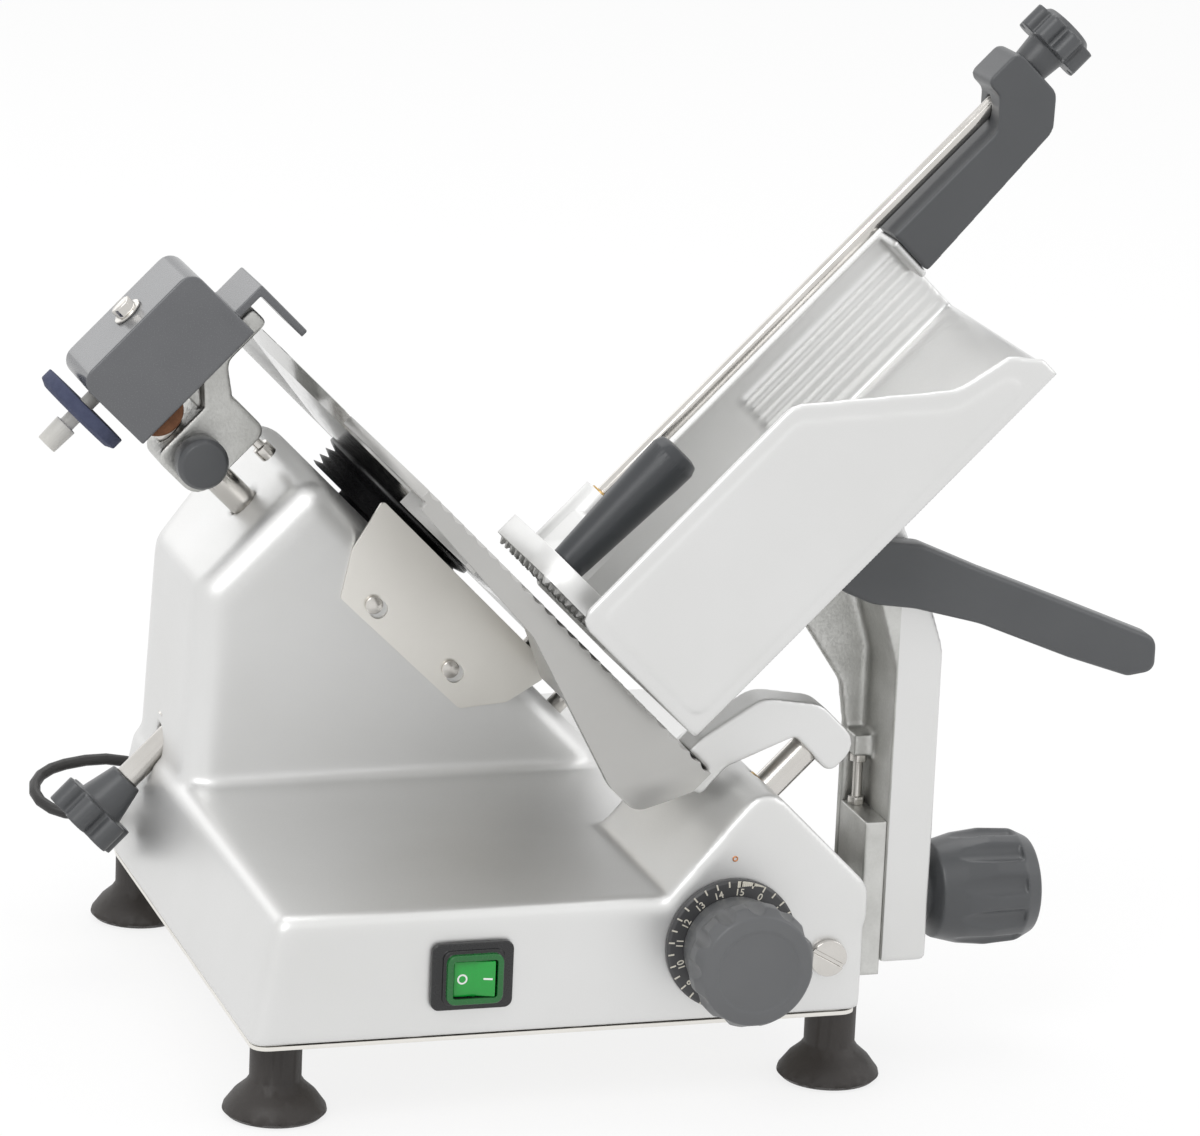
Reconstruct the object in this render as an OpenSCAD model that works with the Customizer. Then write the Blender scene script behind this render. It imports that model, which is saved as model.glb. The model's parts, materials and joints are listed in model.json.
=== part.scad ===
// Electric gravity-feed food slicer with a 250 mm knife.
// Origin: on the table, under the middle of the machine. Places are measured from the middle of the base.
// +X points right, towards the carriage handle, +Y away from the operator, +Z up.
// Parts that lie square to the knife are drawn in the tilted frame (t, y, n):
// t runs down the slope to the right, n points out of the knife, up to the right.

/* [Base] */
// Depth of the base, front to back
base_d = 345; // [335:1:365]
// Left edge of the bed, left of the base middle
base_left = 150; // [146:1:160]
// Right wall, right of the base middle
base_right = 143.5; // [142:0.5:149]
// How far the left wall leans out at its foot
base_draft = 10; // [4:1:14]
// Rounding of the back left corner, seen from above
base_corner_r = 45; // [38:1:50]
// Underside of the base above the table
base_z = 44; // [38:1:50]
// Bed of the base above the table
bed_z = 107; // [103:1:112]
// Wall of the casting
wall = 6; // [4:0.5:7]
// Where the raised corner housing climbs out of the bed
corner_x = 42; // [38:1:44]
// Depth of the corner housing
corner_d = 115; // [95:1:130]
// Front of the motor tower, behind the base middle
tower_front = 34; // [24:1:36]
// Rounding of the tower's edges
tower_round = 16; // [10:1:18]

/* [Feet] */
// Diameter of a foot on the table
foot_d = 50; // [40:1:56]
// Diameter of a foot's stem
foot_stem_d = 25; // [18:1:30]
// Height of a foot's dome
foot_dome_h = 17; // [12:1:22]
// Feet left and right of the base middle
foot_x = 139; // [132:1:140]
// Front feet in from the front edge
foot_front = 33; // [26:1:36]
// Back feet in from the back edge
foot_back = 18; // [18:1:28]

/* [Knife] */
// Diameter of the knife
knife_d = 250; // [240:1:254]
// Diameter of the ribbed hub
hub_d = 96; // [88:1:100]
// Diameter of the knife cover
cover_d = 200; // [180:1:204]
// Width of the ring guard's band
ring_w = 12; // [9:0.5:14]
// Diameter of the guard posts
post_d = 10; // [8:0.5:14]
// Thickness of the slice deflector
sheet = 1.5; // [1:0.1:2]

/* [Drive] */
// Outer diameter of the hollow spindle
spindle_d = 25; // [23:0.5:26]
// Diameter of the cover's tie rod
tie_rod_d = 13; // [11:0.5:14]
// Diameter of the knife pulley
knife_pulley_d = 84; // [76:1:86]
// Diameter of the motor pulley
motor_pulley_d = 30; // [24:1:34]
// Width of the belt
belt_w = 12; // [8:1:13]
// Diameter of the motor
motor_d = 76; // [66:1:78]

/* [Gauge plate] */
// Pitch of the ribs on the gauge plate
rib_pitch = 8.2; // [6:0.1:12]
// Height of the ribs on the gauge plate
rib_h = 1.6; // [0.8:0.1:2]
// Thickest slice
gauge_travel = 15; // [10:1:16]
// Diameter of the gauge rod
gauge_rod_d = 15; // [12:0.5:16]

/* [Dial] */
// Diameter of the numbered disc
dial_d = 65; // [58:0.5:68]
// Diameter of the dial knob
dial_knob_d = 60; // [50:0.5:62]
// Length of the dial knob
dial_knob_l = 40; // [30:1:46]
// Scallops round the dial knob
dial_scallops = 12; // [8:1:16]

/* [Carriage] */
// Travel of the carriage
carriage_travel = 235; // [200:1:236]
// Width of the food tray
tray_w = 145; // [140:1:150]
// Length of the food tray up the slope
tray_l = 243; // [236:1:250]
// Wall of the food tray
tray_wall = 4; // [3:0.5:5]
// Height of the tray's near wall
near_wall_h = 81; // [74:1:84]
// Height of the tray's far wall
far_wall_h = 52; // [46:1:53]
// Diameter of the slide rod
slide_rod_d = 16; // [12:1:18]
// Diameter of the clamp knob
clamp_knob_d = 58; // [50:1:62]

/* [Pusher] */
// Diameter of the pusher rod
pusher_rod_d = 8; // [6:0.5:9]
// Pitch of the teeth on the pusher
tooth_pitch = 8; // [7:0.5:14]
// Length of the pusher's handle
pusher_handle_l = 76; // [60:1:90]

/* [Sharpener] */
// Diameter of the sharpener's post
sharp_post_d = 15; // [12:0.5:16]
// Diameter of the grinding stone
stone_d = 50; // [44:1:54]
// Thickness of the grinding stone
stone_w = 8; // [6:0.5:9]
// Wall of the sharpener's housing
hood_wall = 3; // [2:0.5:3.5]

/* [Cord] */
// Diameter of the mains cord
cord_d = 6; // [5:0.5:6]
// Turns in each layer of the coil
coil_turns = 3.5; // [2.5:1:3.5]

/* [Hidden] */

// Middle of the machine as seen from above, measured from the middle of the base
machine_middle = [46, 9, 0];
$fn = 64;

// The knife plane leans 45 degrees, as on every slicer of this kind.
tilt = 45;
// Gap round parts that are pushed or screwed into each other
fit = 0.1;
// Radial gap of parts that turn or slide in each other
run = 0.05;
// Gap between parts of different bodies that must not rub
clear = 0.4;

base_front = -base_d / 2;
base_back = base_d / 2;
base_edge_r = 8;

// Slope face of the tower and its upper left chamfer, in the tilted frame
tower_n = 131;
tower_t = -246;
tower_low_n = 48;
// Face of the corner housing and its ridge
corner_n = 177;
ridge_t = -51;

// Knife axis and edge plane
knife_t = -180;
knife_y = 95;
edge_n = 162;
knife_r = knife_d / 2;
hub_top_n = 149;
hub_shank_r = 26;
knife_bore_r = 22;
knife_plate = 3;

spindle_n0 = -12;
spindle_top_n = 150;
bearing_d = 42;
bearing_w = 9;
bearing_n = [66, 115];
pulley_n = 86;
pulley_w = belt_w + 6;
belt_t = 3;
motor_t = -105;
motor_n0 = 4;
motor_n1 = 78;
motor_plate_t = 4;
motor_shaft_d = 10;

// Dial axis, and the gauge rod beside it
dial_x = 74;
dial_z = 83;
dial_shaft_d = 10;
dial_turn = 337.5;
disc_t = 3.5;
dial_axis_t = (dial_x - dial_z) * cos(tilt);
dial_axis_n = (dial_x + dial_z) * cos(tilt);
rod_t0 = -29.4;
rod_y0 = base_front + 45;
cam_r0 = 25;
cam_r = 30;
cam_w = 8;
cam_groove = 4.8;
cam_pin_d = 4;
cam_y = base_front + 22;
follower_n = dial_axis_n + cam_r0;

// Gauge plate, square to the knife axis
gauge_t0 = -267;
gauge_t1 = -62;
gauge_y0 = base_front + 30;
gauge_n = 162;
gauge_plate_t = 5;
gauge_gap = 2.5;

// Carriage
slide_x = 123.5;
slide_z = 73;
guide_x = 100;
guide_z = 54;
guide_rod_d = 10;
bush_d = slide_rod_d + 4;
barrel_d = bush_d + 12;
block_y0 = base_front + 17;
block_l = 80;
arm_y0 = base_front + 60;
arm_y1 = arm_y0 + 45;
arm_x0 = 173;
arm_x1 = 197;
upright_x = 162;
upright_z0 = 40;
upright_z1 = 119;
clamp_z = 76;
clamp_y = (arm_y0 + arm_y1) / 2 - 2;
stud_d = 10;

// Food tray, in the tilted frame
tray_t = -92;
tray_n0 = 168;
tray_n1 = tray_n0 + tray_l;
tray_y0 = base_front + 5.5;
tray_y1 = tray_y0 + tray_w;
floor_t = tray_t - tray_wall;

// Pusher rod and its bracket
prod_t = -158;
prod_y = tray_y1 - 11;
prod_n0 = tray_n0 + 3;
hook_rise = 84;
hook_l = 22;
hook_n0 = tray_n1 + hook_rise;
hook_n1 = hook_n0 + hook_l;
sleeve_d = pusher_rod_d + 5;
sleeve_n0 = tray_n0 + 16;
sleeve_l = 38;
press_n0 = tray_n0 + 4;
press_n1 = press_n0 + 12;

// Sharpener
spost_n = 94;
spost_y = 82.5;
spost_t1 = -332;
clamp_t0 = -300;
clamp_t1 = -268;
hood_t0 = -358;
hood_t1 = -312;
hood_n0 = 80;
hood_n1 = 158;
hood_y0 = 59;
hood_y1 = 108;
stone_t = -339;
stone_y = 85;
stone_n = 66;

// Switch on the front face
switch_x = -54;
switch_z = 75;
bezel_w = 39.8;
bezel_h = 32.9;
bezel_t = 3;
collar_w = 30;
collar_h = 27;
rim_w = 27;
rim_h = 24;
rim_t = 8;
rocker_w = 20;
rocker_h = 17.5;
rocker_depth = 9;
rocker_tip = 7;

// Cord route, chosen by hand
cord_route = [
  [-169, 150, 58], [-172, 150, 58], [-179.5, 151.5, 58.6], [-186, 155.8, 60], [-190.3, 162.4, 62],
  [-191.8, 170, 64.4], [-190.3, 177.6, 66.8], [-186, 184.2, 69], [-179.5, 188.5, 71], [-172, 190, 72.6],
  [-161, 190, 74.2], [-150, 190, 74.4], [-139, 190, 72.5], [-128, 190, 68], [-117, 190, 61],
  [-106, 190, 52.2], [-96, 190, 43], [-86, 190, 33.2], [-77, 190, 24.4], [-68, 190, 16.4],
  [-60, 190, 10.4], [-52, 190, 6.3], [-45, 190, 4.5], [-39, 190, 4.3], [-34, 190, 4.3]];
coil_c = [-28, 237.4];
coil_in_r = 24.3;
coil_pitch = cord_d + 0.6;
coil_z = 4.3;
coil_tail = 60;
coil_out_r = coil_in_r + coil_pitch * coil_turns;
plug_l = 38;
plug_w = 26;

/* Shared forms */
function xz(t, n) = [t * cos(tilt) + n * sin(tilt), n * cos(tilt) - t * sin(tilt)];
function unit(v) = v / norm(v);
function prev(p, i) = p[(i + len(p) - 1) % len(p)];
function next(p, i) = p[(i + 1) % len(p)];

// Arc that rounds the corner b between a and c
function corner_arc(a, b, c, r, steps = 6) =
  let (u = unit(a - b), w = unit(c - b), half = acos(u * w) / 2)
  let (mid = b + unit(u + w) * r / sin(half))
  let (p0 = b + u * r / tan(half) - mid, p1 = b + w * r / tan(half) - mid)
  let (a0 = atan2(p0.y, p0.x), sweep = (atan2(p1.y, p1.x) - a0 + 540) % 360 - 180)
  [for (i = [0 : steps]) mid + r * [cos(a0 + sweep * i / steps), sin(a0 + sweep * i / steps)]];

// Outline with its corners rounded, each by its own radius
function rounded(p, radii) = [for (i = [0 : len(p) - 1])
  let (r = is_list(radii) ? radii[i] : radii)
  each r > 0 ? corner_arc(prev(p, i), p[i], next(p, i), r) : [p[i]]];

// Anticlockwise outline moved in by w
function inset(p, w) = [for (i = [0 : len(p) - 1])
  let (u = unit(p[i] - prev(p, i)), v = unit(next(p, i) - p[i]))
  let (nu = [-u.y, u.x], nv = [-v.y, v.x])
  p[i] + (nu + nv) * w / (1 + nu * nv)];

module placed() translate(-machine_middle) children();
module tilted() rotate([0, tilt, 0]) children();
module slab_y(y0, y1) translate([0, y1, 0]) rotate([90, 0, 0]) linear_extrude(y1 - y0) children();
module slab_x(x0, x1) translate([x0, 0, 0]) rotate([90, 0, 90]) linear_extrude(x1 - x0) children();
module box(p0, p1) translate(p0) cube(p1 - p0);
module rod_n(t, y, n0, n1, d) tilted() translate([t, y, n0]) cylinder(d = d, h = n1 - n0);
module rod_t(n, y, t0, t1, d) tilted() translate([t0, y, n]) rotate([0, 90, 0])
  cylinder(d = d, h = t1 - t0);
module rod_y(x, z, y0, y1, d) translate([x, y0, z]) rotate([-90, 0, 0]) cylinder(d = d, h = y1 - y0);
module rod_x(y, z, x0, x1, d) translate([x0, y, z]) rotate([0, 90, 0]) cylinder(d = d, h = x1 - x0);
module hex(d, h) cylinder(d = d, h = h, $fn = 6);
// Turned part about the knife axis, from points of radius and n
module turned_n(points) tilted() translate([knife_t, knife_y, 0]) rotate_extrude() polygon(points);

// Knob with round lobes about its own axis
module star(lobes, core_r, lobe_r, at_r, h) {
  cylinder(r = core_r, h = h);
  for (i = [0 : lobes - 1]) rotate(i * 360 / lobes) translate([at_r, 0, 0]) cylinder(r = lobe_r, h = h);
}

/* Base */
corner_low_z = bed_z - 3 * wall;
corner_top_z = corner_n / sin(tilt) - base_right;
corner_profile = [[corner_x, corner_low_z], [base_right, corner_low_z], [base_right, corner_top_z],
  xz(ridge_t, corner_n), [corner_x, bed_z]];
tower_low_z = bed_z - tower_round - 2;
tower_left = -base_left + 4;
tower_profile = [[tower_left, tower_low_z], [tower_n / sin(tilt) - tower_low_z, tower_low_z],
  xz(tower_t, tower_n), xz(tower_t, tower_low_n)];
feet_at = [for (x = [-foot_x, foot_x], y = [base_front + foot_front, base_back - foot_back]) [x, y]];
cover_screw_in = 14;
cover_screws_at = [for (x = [-80, 0, 80],
  y = [base_front + cover_screw_in, base_back - cover_screw_in]) [x, y]];
foot_boss_h = 10;
foot_stud_d = 8;
rod_screw_d = 8;
slot_z0 = slide_z - barrel_d / 2 - 3;
slot_z1 = slide_z + barrel_d / 2 + 3;
slot_y0 = block_y0 - 4;
slot_y1 = block_y0 + block_l + carriage_travel + 4;
gauge_bush_d = gauge_rod_d + 5;
gauge_bush_n = corner_n - 34;
post_seat_l = 18;
gland_y = cord_route[0].y;
gland_z = cord_route[0].z;
gland_d = 12;
gland_boss_d = 24;
gland_boss_x = -157;
gland_in = 12;

// Points on the left edge of the base, from the front round the back left corner
function left_edge(x, y0, y1, r, in_r) = concat([[x, y0]], [for (a = [180 : -22.5 : 90])
  [x + r - in_r, y1 - r + in_r] + (r - in_r) * [cos(a), sin(a)]]);
module bed_block() {
  r = base_edge_r;
  left = left_edge(-base_left + r, base_front + r, base_back - r, base_corner_r, r);
  hull() {
    for (p = left) {
      translate([p.x, p.y, bed_z - r]) sphere(r = r, $fn = 24);
      translate([p.x - base_draft, p.y, base_z]) cylinder(r = r, h = 1, $fn = 24);
    }
    for (y = [base_front + r, base_back - r]) {
      translate([base_right - r, y, bed_z - r]) sphere(r = r, $fn = 24);
      translate([base_right - r, y, base_z]) cylinder(r = r, h = 1, $fn = 24);
    }
  }
}

module corner_block()
  slab_y(base_front, base_front + corner_d) polygon(rounded(corner_profile, [0, 0, 10, 12, 14]));

module tower_block() {
  r = tower_round;
  in = inset(tower_profile, r);
  hull() {
    for (i = [0, 3], p = left_edge(in[i].x, tower_front + r, base_back - r, base_corner_r, r))
      translate([p.x, p.y, in[i].y]) sphere(r = r, $fn = 32);
    for (i = [1, 2], y = [tower_front + r, base_back - r])
      translate([in[i].x, y, in[i].y]) sphere(r = r, $fn = 32);
  }
}

// Room inside the walls, seen from above
module hollow_plan(left, z1) translate([0, 0, base_z - 1]) linear_extrude(z1 - base_z + 1)
  polygon(rounded([[left, base_front + wall], [base_right - wall, base_front + wall],
    [base_right - wall, base_back - wall], [left, base_back - wall]], [4, 4, 4, base_corner_r - wall]));

module base_hollows() {
  hollow_plan(-base_left + wall, bed_z - wall);
  slab_y(base_front + wall, base_front + corner_d - wall) polygon(inset(corner_profile, wall));
  intersection() {
    slab_y(tower_front + wall, base_back - wall) polygon(inset(tower_profile, wall));
    hollow_plan(xz(tower_t, tower_low_n).x + wall, 2 * base_d);
  }
}

module base_bosses() {
  for (p = feet_at) translate([p.x, p.y, base_z]) cylinder(d = foot_stem_d + 4, h = foot_boss_h);
  for (p = cover_screws_at) translate([p.x, p.y, base_z]) cylinder(d = 9, h = 12);
  rod_n(rod_t0, rod_y0, gauge_bush_n, corner_n - 1, gauge_bush_d + 8);
  rod_n(knife_t, knife_y, spindle_n0 - 30, spindle_n0 + 20, spindle_d + 16);
  rod_t(spost_n, spost_y, tower_t, tower_t + post_seat_l, sharp_post_d + 12);
}

module base_holes() {
  rod_n(knife_t, knife_y, tower_n - 2 * wall, tower_n + 1, 2 * hub_shank_r + 4);
  rod_n(knife_t, knife_y, spindle_n0, spindle_n0 + 30, spindle_d + 2 * fit);
  rod_n(knife_t, knife_y, spindle_n0 - 60, spindle_n0 + 1, tie_rod_d + 2);
  rod_y(dial_x, dial_z, base_front - 1, base_front + wall + 1, dial_shaft_d + 2 * run);
  box([switch_x - 15.2, base_front - 1, switch_z - 12.2],
    [switch_x + 15.2, base_front + wall + 1, switch_z + 12.2]);
  for (y = [base_front - 1, base_back - wall - 1])
    rod_y(slide_x, slide_z, y, y + wall + 2, rod_screw_d + 2 * fit);
  box([base_right - wall - 1, slot_y0, slot_z0], [base_right + 1, slot_y1, slot_z1]);
  rod_n(rod_t0, rod_y0, gauge_bush_n - 1, corner_n + 20, gauge_bush_d + 2 * fit);
  rod_t(spost_n, spost_y, tower_t - 10, tower_t + post_seat_l + 1, sharp_post_d + 2 * fit);
  for (p = feet_at) translate([p.x, p.y, base_z - 1]) cylinder(d = foot_stud_d + 2 * fit, h = foot_boss_h);
  for (p = cover_screws_at) translate([p.x, p.y, base_z - 1]) cylinder(d = 3.6, h = 10);
  rod_x(gland_y, gland_z, gland_boss_x - 1, gland_boss_x + 30, gland_d + 2 * fit);
}

module base_casting() {
  color("gainsboro") placed() difference() {
    union() {
      difference() {
        union() {
          bed_block();
          corner_block();
          tower_block();
        }
        base_hollows();
      }
      intersection() {
        base_bosses();
        union() {
          bed_block();
          corner_block();
          tower_block();
        }
      }
      rod_x(gland_y, gland_z, gland_boss_x, gland_boss_x + 22, gland_boss_d);
    }
    base_holes();
  }
}

cover_t = 2;
cover_edge = 2;
module bottom_cover() {
  left = -base_left - base_draft + cover_edge;
  color("silver") placed() difference() {
    translate([0, 0, base_z - cover_t]) linear_extrude(cover_t)
      polygon(rounded([[left, base_front + cover_edge], [base_right - cover_edge, base_front + cover_edge],
        [base_right - cover_edge, base_back - cover_edge], [left, base_back - cover_edge]],
        [base_edge_r, base_edge_r, base_edge_r, base_corner_r - cover_edge]));
    for (p = feet_at) translate([p.x, p.y, base_z - cover_t - 1])
      cylinder(d = foot_stem_d + 1, h = cover_t + 2);
    for (p = cover_screws_at) translate([p.x, p.y, base_z - cover_t - 1])
      cylinder(d = 3.6, h = cover_t + 2);
  }
}

module cover_screws() {
  color("silver") placed() for (p = cover_screws_at) translate([p.x, p.y, base_z - cover_t]) {
    cylinder(d = 3.4, h = cover_t + 8);
    difference() {
      translate([0, 0, -2]) cylinder(d = 6, h = 2);
      translate([-4, -0.5, -3]) cube([8, 1, 1.8]);
    }
  }
}

module feet() {
  stem = foot_stem_d / 2;
  dome = foot_d / 2;
  color("dimgray") placed() for (p = feet_at) translate([p.x, p.y, 0]) rotate_extrude()
    polygon([[0, 0], [dome - 2, 0], [dome, 2], [dome - 0.5, 4], [(dome + stem) * 0.53, foot_dome_h * 0.6],
      [stem + 2, foot_dome_h * 0.88], [stem, foot_dome_h + 1], [stem, base_z],
      [foot_stud_d / 2, base_z], [foot_stud_d / 2, base_z + foot_boss_h - 2],
      [0, base_z + foot_boss_h - 2]]);
}

module slide_rod() {
  color("silver") placed() difference() {
    rod_y(slide_x, slide_z, base_front + wall, base_back - wall, slide_rod_d);
    for (y = [base_front + wall - 1, base_back - wall - 15])
      rod_y(slide_x, slide_z, y, y + 16, rod_screw_d + 2 * fit);
  }
}

module guide_rod() color("silver") placed() rod_y(guide_x, guide_z, base_front + wall, base_back - wall,
  guide_rod_d);

module rod_end_screws() {
  head = 3.5;
  color("silver") placed() for (end = [0, 1]) mirror([0, end, 0]) difference() {
    union() {
      rod_y(slide_x, slide_z, base_front - head, base_front, 18);
      rod_y(slide_x, slide_z, base_front, base_front + wall + 14, rod_screw_d);
    }
    translate([slide_x, base_front - head, slide_z]) rotate([0, 30, 0]) cube([20, 2.4, 2], center = true);
  }
}

/* Switch and dial */
rocker_y = base_front - 4;
function centred(x, z, w, h) = [[x - w / 2, z - h / 2], [x + w / 2, z - h / 2], [x + w / 2, z + h / 2],
  [x - w / 2, z + h / 2]];
module switch_body() {
  color("black") placed() difference() {
    union() {
      slab_y(base_front - bezel_t, base_front)
        polygon(rounded(centred(switch_x, switch_z, bezel_w, bezel_h), 4));
      slab_y(base_front - rim_t + 3, base_front)
        polygon(rounded(centred(switch_x, switch_z, collar_w, collar_h), 4));
      slab_y(base_front - rim_t, base_front) polygon(rounded(centred(switch_x, switch_z, rim_w, rim_h), 4));
      box([switch_x - 15, base_front, switch_z - 12], [switch_x + 15, base_front + 28, switch_z + 12]);
    }
    box([switch_x - rocker_w / 2 - 0.8, base_front - rim_t - 1, switch_z - rocker_h / 2 - clear],
      [switch_x + rocker_w / 2 + 0.8, base_front + rocker_depth, switch_z + rocker_h / 2 + clear]);
    translate([switch_x, rocker_y, switch_z - rocker_h / 2 - 2])
      cylinder(d = 3 + 2 * run, h = rocker_h + 4);
  }
}

// The rocker is stored tipped in at its left, the off side.
module switch_rocker() {
  half = rocker_w / 2;
  color("green") placed() translate([switch_x, rocker_y, switch_z - rocker_h / 2]) rotate(-rocker_tip) {
    linear_extrude(rocker_h) polygon(concat(
      [[-half, -3.6], [0, -2.2], [half, -3.6], [half, 0]],
      [for (i = [1 : 7]) [half * cos(i * 22.5), 5 * sin(i * 22.5)]],
      [[-half, 0]]));
    translate([0, 0, -1.6]) cylinder(d = 3, h = rocker_h + 3.2);
  }
}

module dial_disc() {
  disc_y = base_front - 0.5;
  color("dimgray") placed() difference() {
    translate([dial_x, disc_y, dial_z]) rotate([90, 0, 0])
      rotate_extrude() polygon([[0, 0], [dial_d / 2, 0], [dial_d / 2, disc_t - 1.2],
        [dial_d / 2 - 1.2, disc_t], [0, disc_t]]);
    rod_y(dial_x, dial_z, disc_y - disc_t - 1, disc_y + 1, dial_shaft_d + 2 * fit);
  }
}

module dial_knob() {
  knob_y = base_front - 0.5 - disc_t;
  r = dial_knob_d / 2;
  color("dimgray") placed() difference() {
    translate([dial_x, knob_y, dial_z]) rotate([90, 0, 0]) difference() {
      rotate_extrude() polygon([[0, 0], [r * 0.82, 0], [r * 0.9, dial_knob_l * 0.3],
        [r - 2, dial_knob_l * 0.5],
        [r, dial_knob_l * 0.62], [r, dial_knob_l * 0.8], [r - 3, dial_knob_l - 2], [r * 0.7, dial_knob_l],
        [r * 0.68, dial_knob_l], [r * 0.68, dial_knob_l - 0.8], [0, dial_knob_l - 0.8]]);
      for (i = [0 : dial_scallops - 1]) rotate(i * 360 / dial_scallops) translate([r + 3, 0, -1])
        cylinder(r = 5.5, h = dial_knob_l + 2);
    }
    rod_y(dial_x, dial_z, knob_y - dial_knob_l * 0.6, knob_y + 1, dial_shaft_d + 2 * fit);
  }
}

// Scroll cam: the groove winds in by the gauge plate's travel over the dial's turn.
cam_steps = 36;
function scroll(side) = [for (i = [0 : cam_steps])
  let (a = tilt - dial_turn * i / cam_steps, r = cam_r0 - gauge_travel * i / cam_steps + side)
  [r * cos(a), r * sin(a)]];
module dial_shaft() {
  half = cam_groove / 2;
  inner = scroll(-half);
  color("silver") placed() {
    rod_y(dial_x, dial_z, base_front - disc_t - dial_knob_l * 0.55, cam_y, dial_shaft_d);
    difference() {
      rod_y(dial_x, dial_z, cam_y, cam_y + cam_w, 2 * cam_r);
      translate([dial_x, cam_y + cam_w + 1, dial_z]) rotate([90, 0, 0]) linear_extrude(6.5) {
        polygon(concat(scroll(half), [for (i = [0 : cam_steps]) inner[cam_steps - i]]));
        for (i = [0, cam_steps]) translate((scroll(0))[i]) circle(d = cam_groove);
      }
    }
  }
}

/* Gauge plate */
gauge_ribs = floor((gauge_t1 - gauge_t0) / rib_pitch);
module gauge_plate() {
  steps = 6 * gauge_ribs;
  len_t = gauge_t1 - gauge_t0;
  low_n = gauge_n - gauge_plate_t;
  web_n = 34;
  back_y = knife_y - 57;
  top = [for (i = [steps : -1 : 0]) [gauge_t0 + len_t * i / steps, gauge_n - rib_h * abs(sin(i * 30))]];
  color("gainsboro") placed() tilted() difference() {
    union() {
      slab_y(gauge_y0, back_y) polygon(concat([[gauge_t0, low_n], [gauge_t1, low_n]], top));
      // Flange along the near edge, deepest towards the lower end
      slab_y(gauge_y0, gauge_y0 + 6) polygon(rounded([[gauge_t0 + 4, low_n - 4], [gauge_t0 + 90, low_n - 9],
        [gauge_t1 - 32, low_n - web_n], [gauge_t1 - 14, low_n - web_n], [gauge_t1, low_n - 8],
        [gauge_t1, low_n + 1], [gauge_t0 + 4, low_n + 1]], [2, 30, 20, 10, 4, 0, 0]));
      // Ribs across the back
      for (t = [gauge_t0 + 40, gauge_t1 - 62])
        box([t, gauge_y0 + 1, low_n - 8], [t + 6, knife_y - 1, low_n + 1]);
      // Belly of the casting towards the lower end
      slab_y(gauge_y0 + 5, back_y - 30) polygon(rounded([[gauge_t1 - 90, low_n - 2],
        [gauge_t1 - 40, low_n - 20],
        [gauge_t1 - 20, low_n - 20], [gauge_t1 - 3, low_n - 4], [gauge_t1 - 3, low_n + 1],
        [gauge_t1 - 90, low_n + 1]],
        [0, 20, 10, 4, 0, 0]));
      // Seat of the hook arm
      box([gauge_t1 - 9, rod_y0 - 10, low_n - 8], [gauge_t1, rod_y0 + 10, low_n]);
    }
    translate([knife_t, knife_y, low_n - 60]) cylinder(r = knife_r + gauge_gap, h = 100);
  }
}

module gauge_arm() {
  color("gainsboro") placed() difference() {
    tilted() slab_y(rod_y0 - 10, rod_y0 + 10) polygon(rounded([
      [gauge_t1, gauge_n - gauge_plate_t - 8], [gauge_t1 + 7, gauge_n - gauge_plate_t - 6],
      [gauge_t1 + 6, corner_n - 8], [gauge_t1 + 18, corner_n + 20], [rod_t0 - 12, corner_n + 26],
      [rod_t0 + 15, corner_n + 25], [rod_t0 + 15, corner_n + 46], [rod_t0 - 14, corner_n + 46],
      [gauge_t1 - 6, corner_n + 28], [gauge_t1 - 14, gauge_n + 10], [gauge_t1 - 14, gauge_n + 0.1],
      [gauge_t1, gauge_n + 0.1]],
      [0, 3, 12, 8, 3, 5, 10, 14, 16, 3, 0, 0]));
    rod_n(rod_t0, rod_y0, corner_n + 15, corner_n + 41, gauge_rod_d + 2 * fit);
  }
}

gauge_rod_n0 = follower_n - 34;
module gauge_rod() color("silver") placed() rod_n(rod_t0, rod_y0, gauge_rod_n0, corner_n + 40, gauge_rod_d);

module gauge_follower() {
  half = 6;
  color("silver") placed() {
    difference() {
      tilted() box([rod_t0 - gauge_rod_d / 2 - 2.5, rod_y0 - gauge_rod_d / 2 - 2.5, follower_n - half],
        [dial_axis_t + 5, rod_y0 + gauge_rod_d / 2 + 2.5, follower_n + half]);
      rod_n(rod_t0, rod_y0, follower_n - half - 1, follower_n + half + 1, gauge_rod_d + 2 * fit);
    }
    tilted() translate([dial_axis_t, cam_y + cam_w - 4.5, follower_n]) rotate([-90, 0, 0])
      cylinder(d = cam_pin_d, h = rod_y0 - gauge_rod_d / 2 - cam_y - cam_w + 2.5);
  }
}

module gauge_bush() {
  color("darkgoldenrod") placed() difference() {
    rod_n(rod_t0, rod_y0, gauge_bush_n, corner_n, gauge_bush_d);
    rod_n(rod_t0, rod_y0, gauge_bush_n - 1, corner_n + 1, gauge_rod_d + 2 * run);
  }
}

/* Knife and drive */
module knife() {
  color("silver") placed() difference() {
    turned_n([[knife_bore_r, hub_top_n], [hub_d / 2 + 12, hub_top_n], [knife_r - 13, edge_n - 6.2],
      [knife_r, edge_n - 0.3],
      [knife_r, edge_n], [knife_r - 9, edge_n - 2.4], [hub_d / 2 + 10, hub_top_n + knife_plate],
      [knife_bore_r, hub_top_n + knife_plate]]);
    for (i = [0 : 2]) tilted() translate([knife_t, knife_y, hub_top_n - 1]) rotate(i * 120)
      translate([34, 0, 0])
      cylinder(d = 6 + 2 * fit, h = knife_plate + 2);
  }
}

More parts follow.
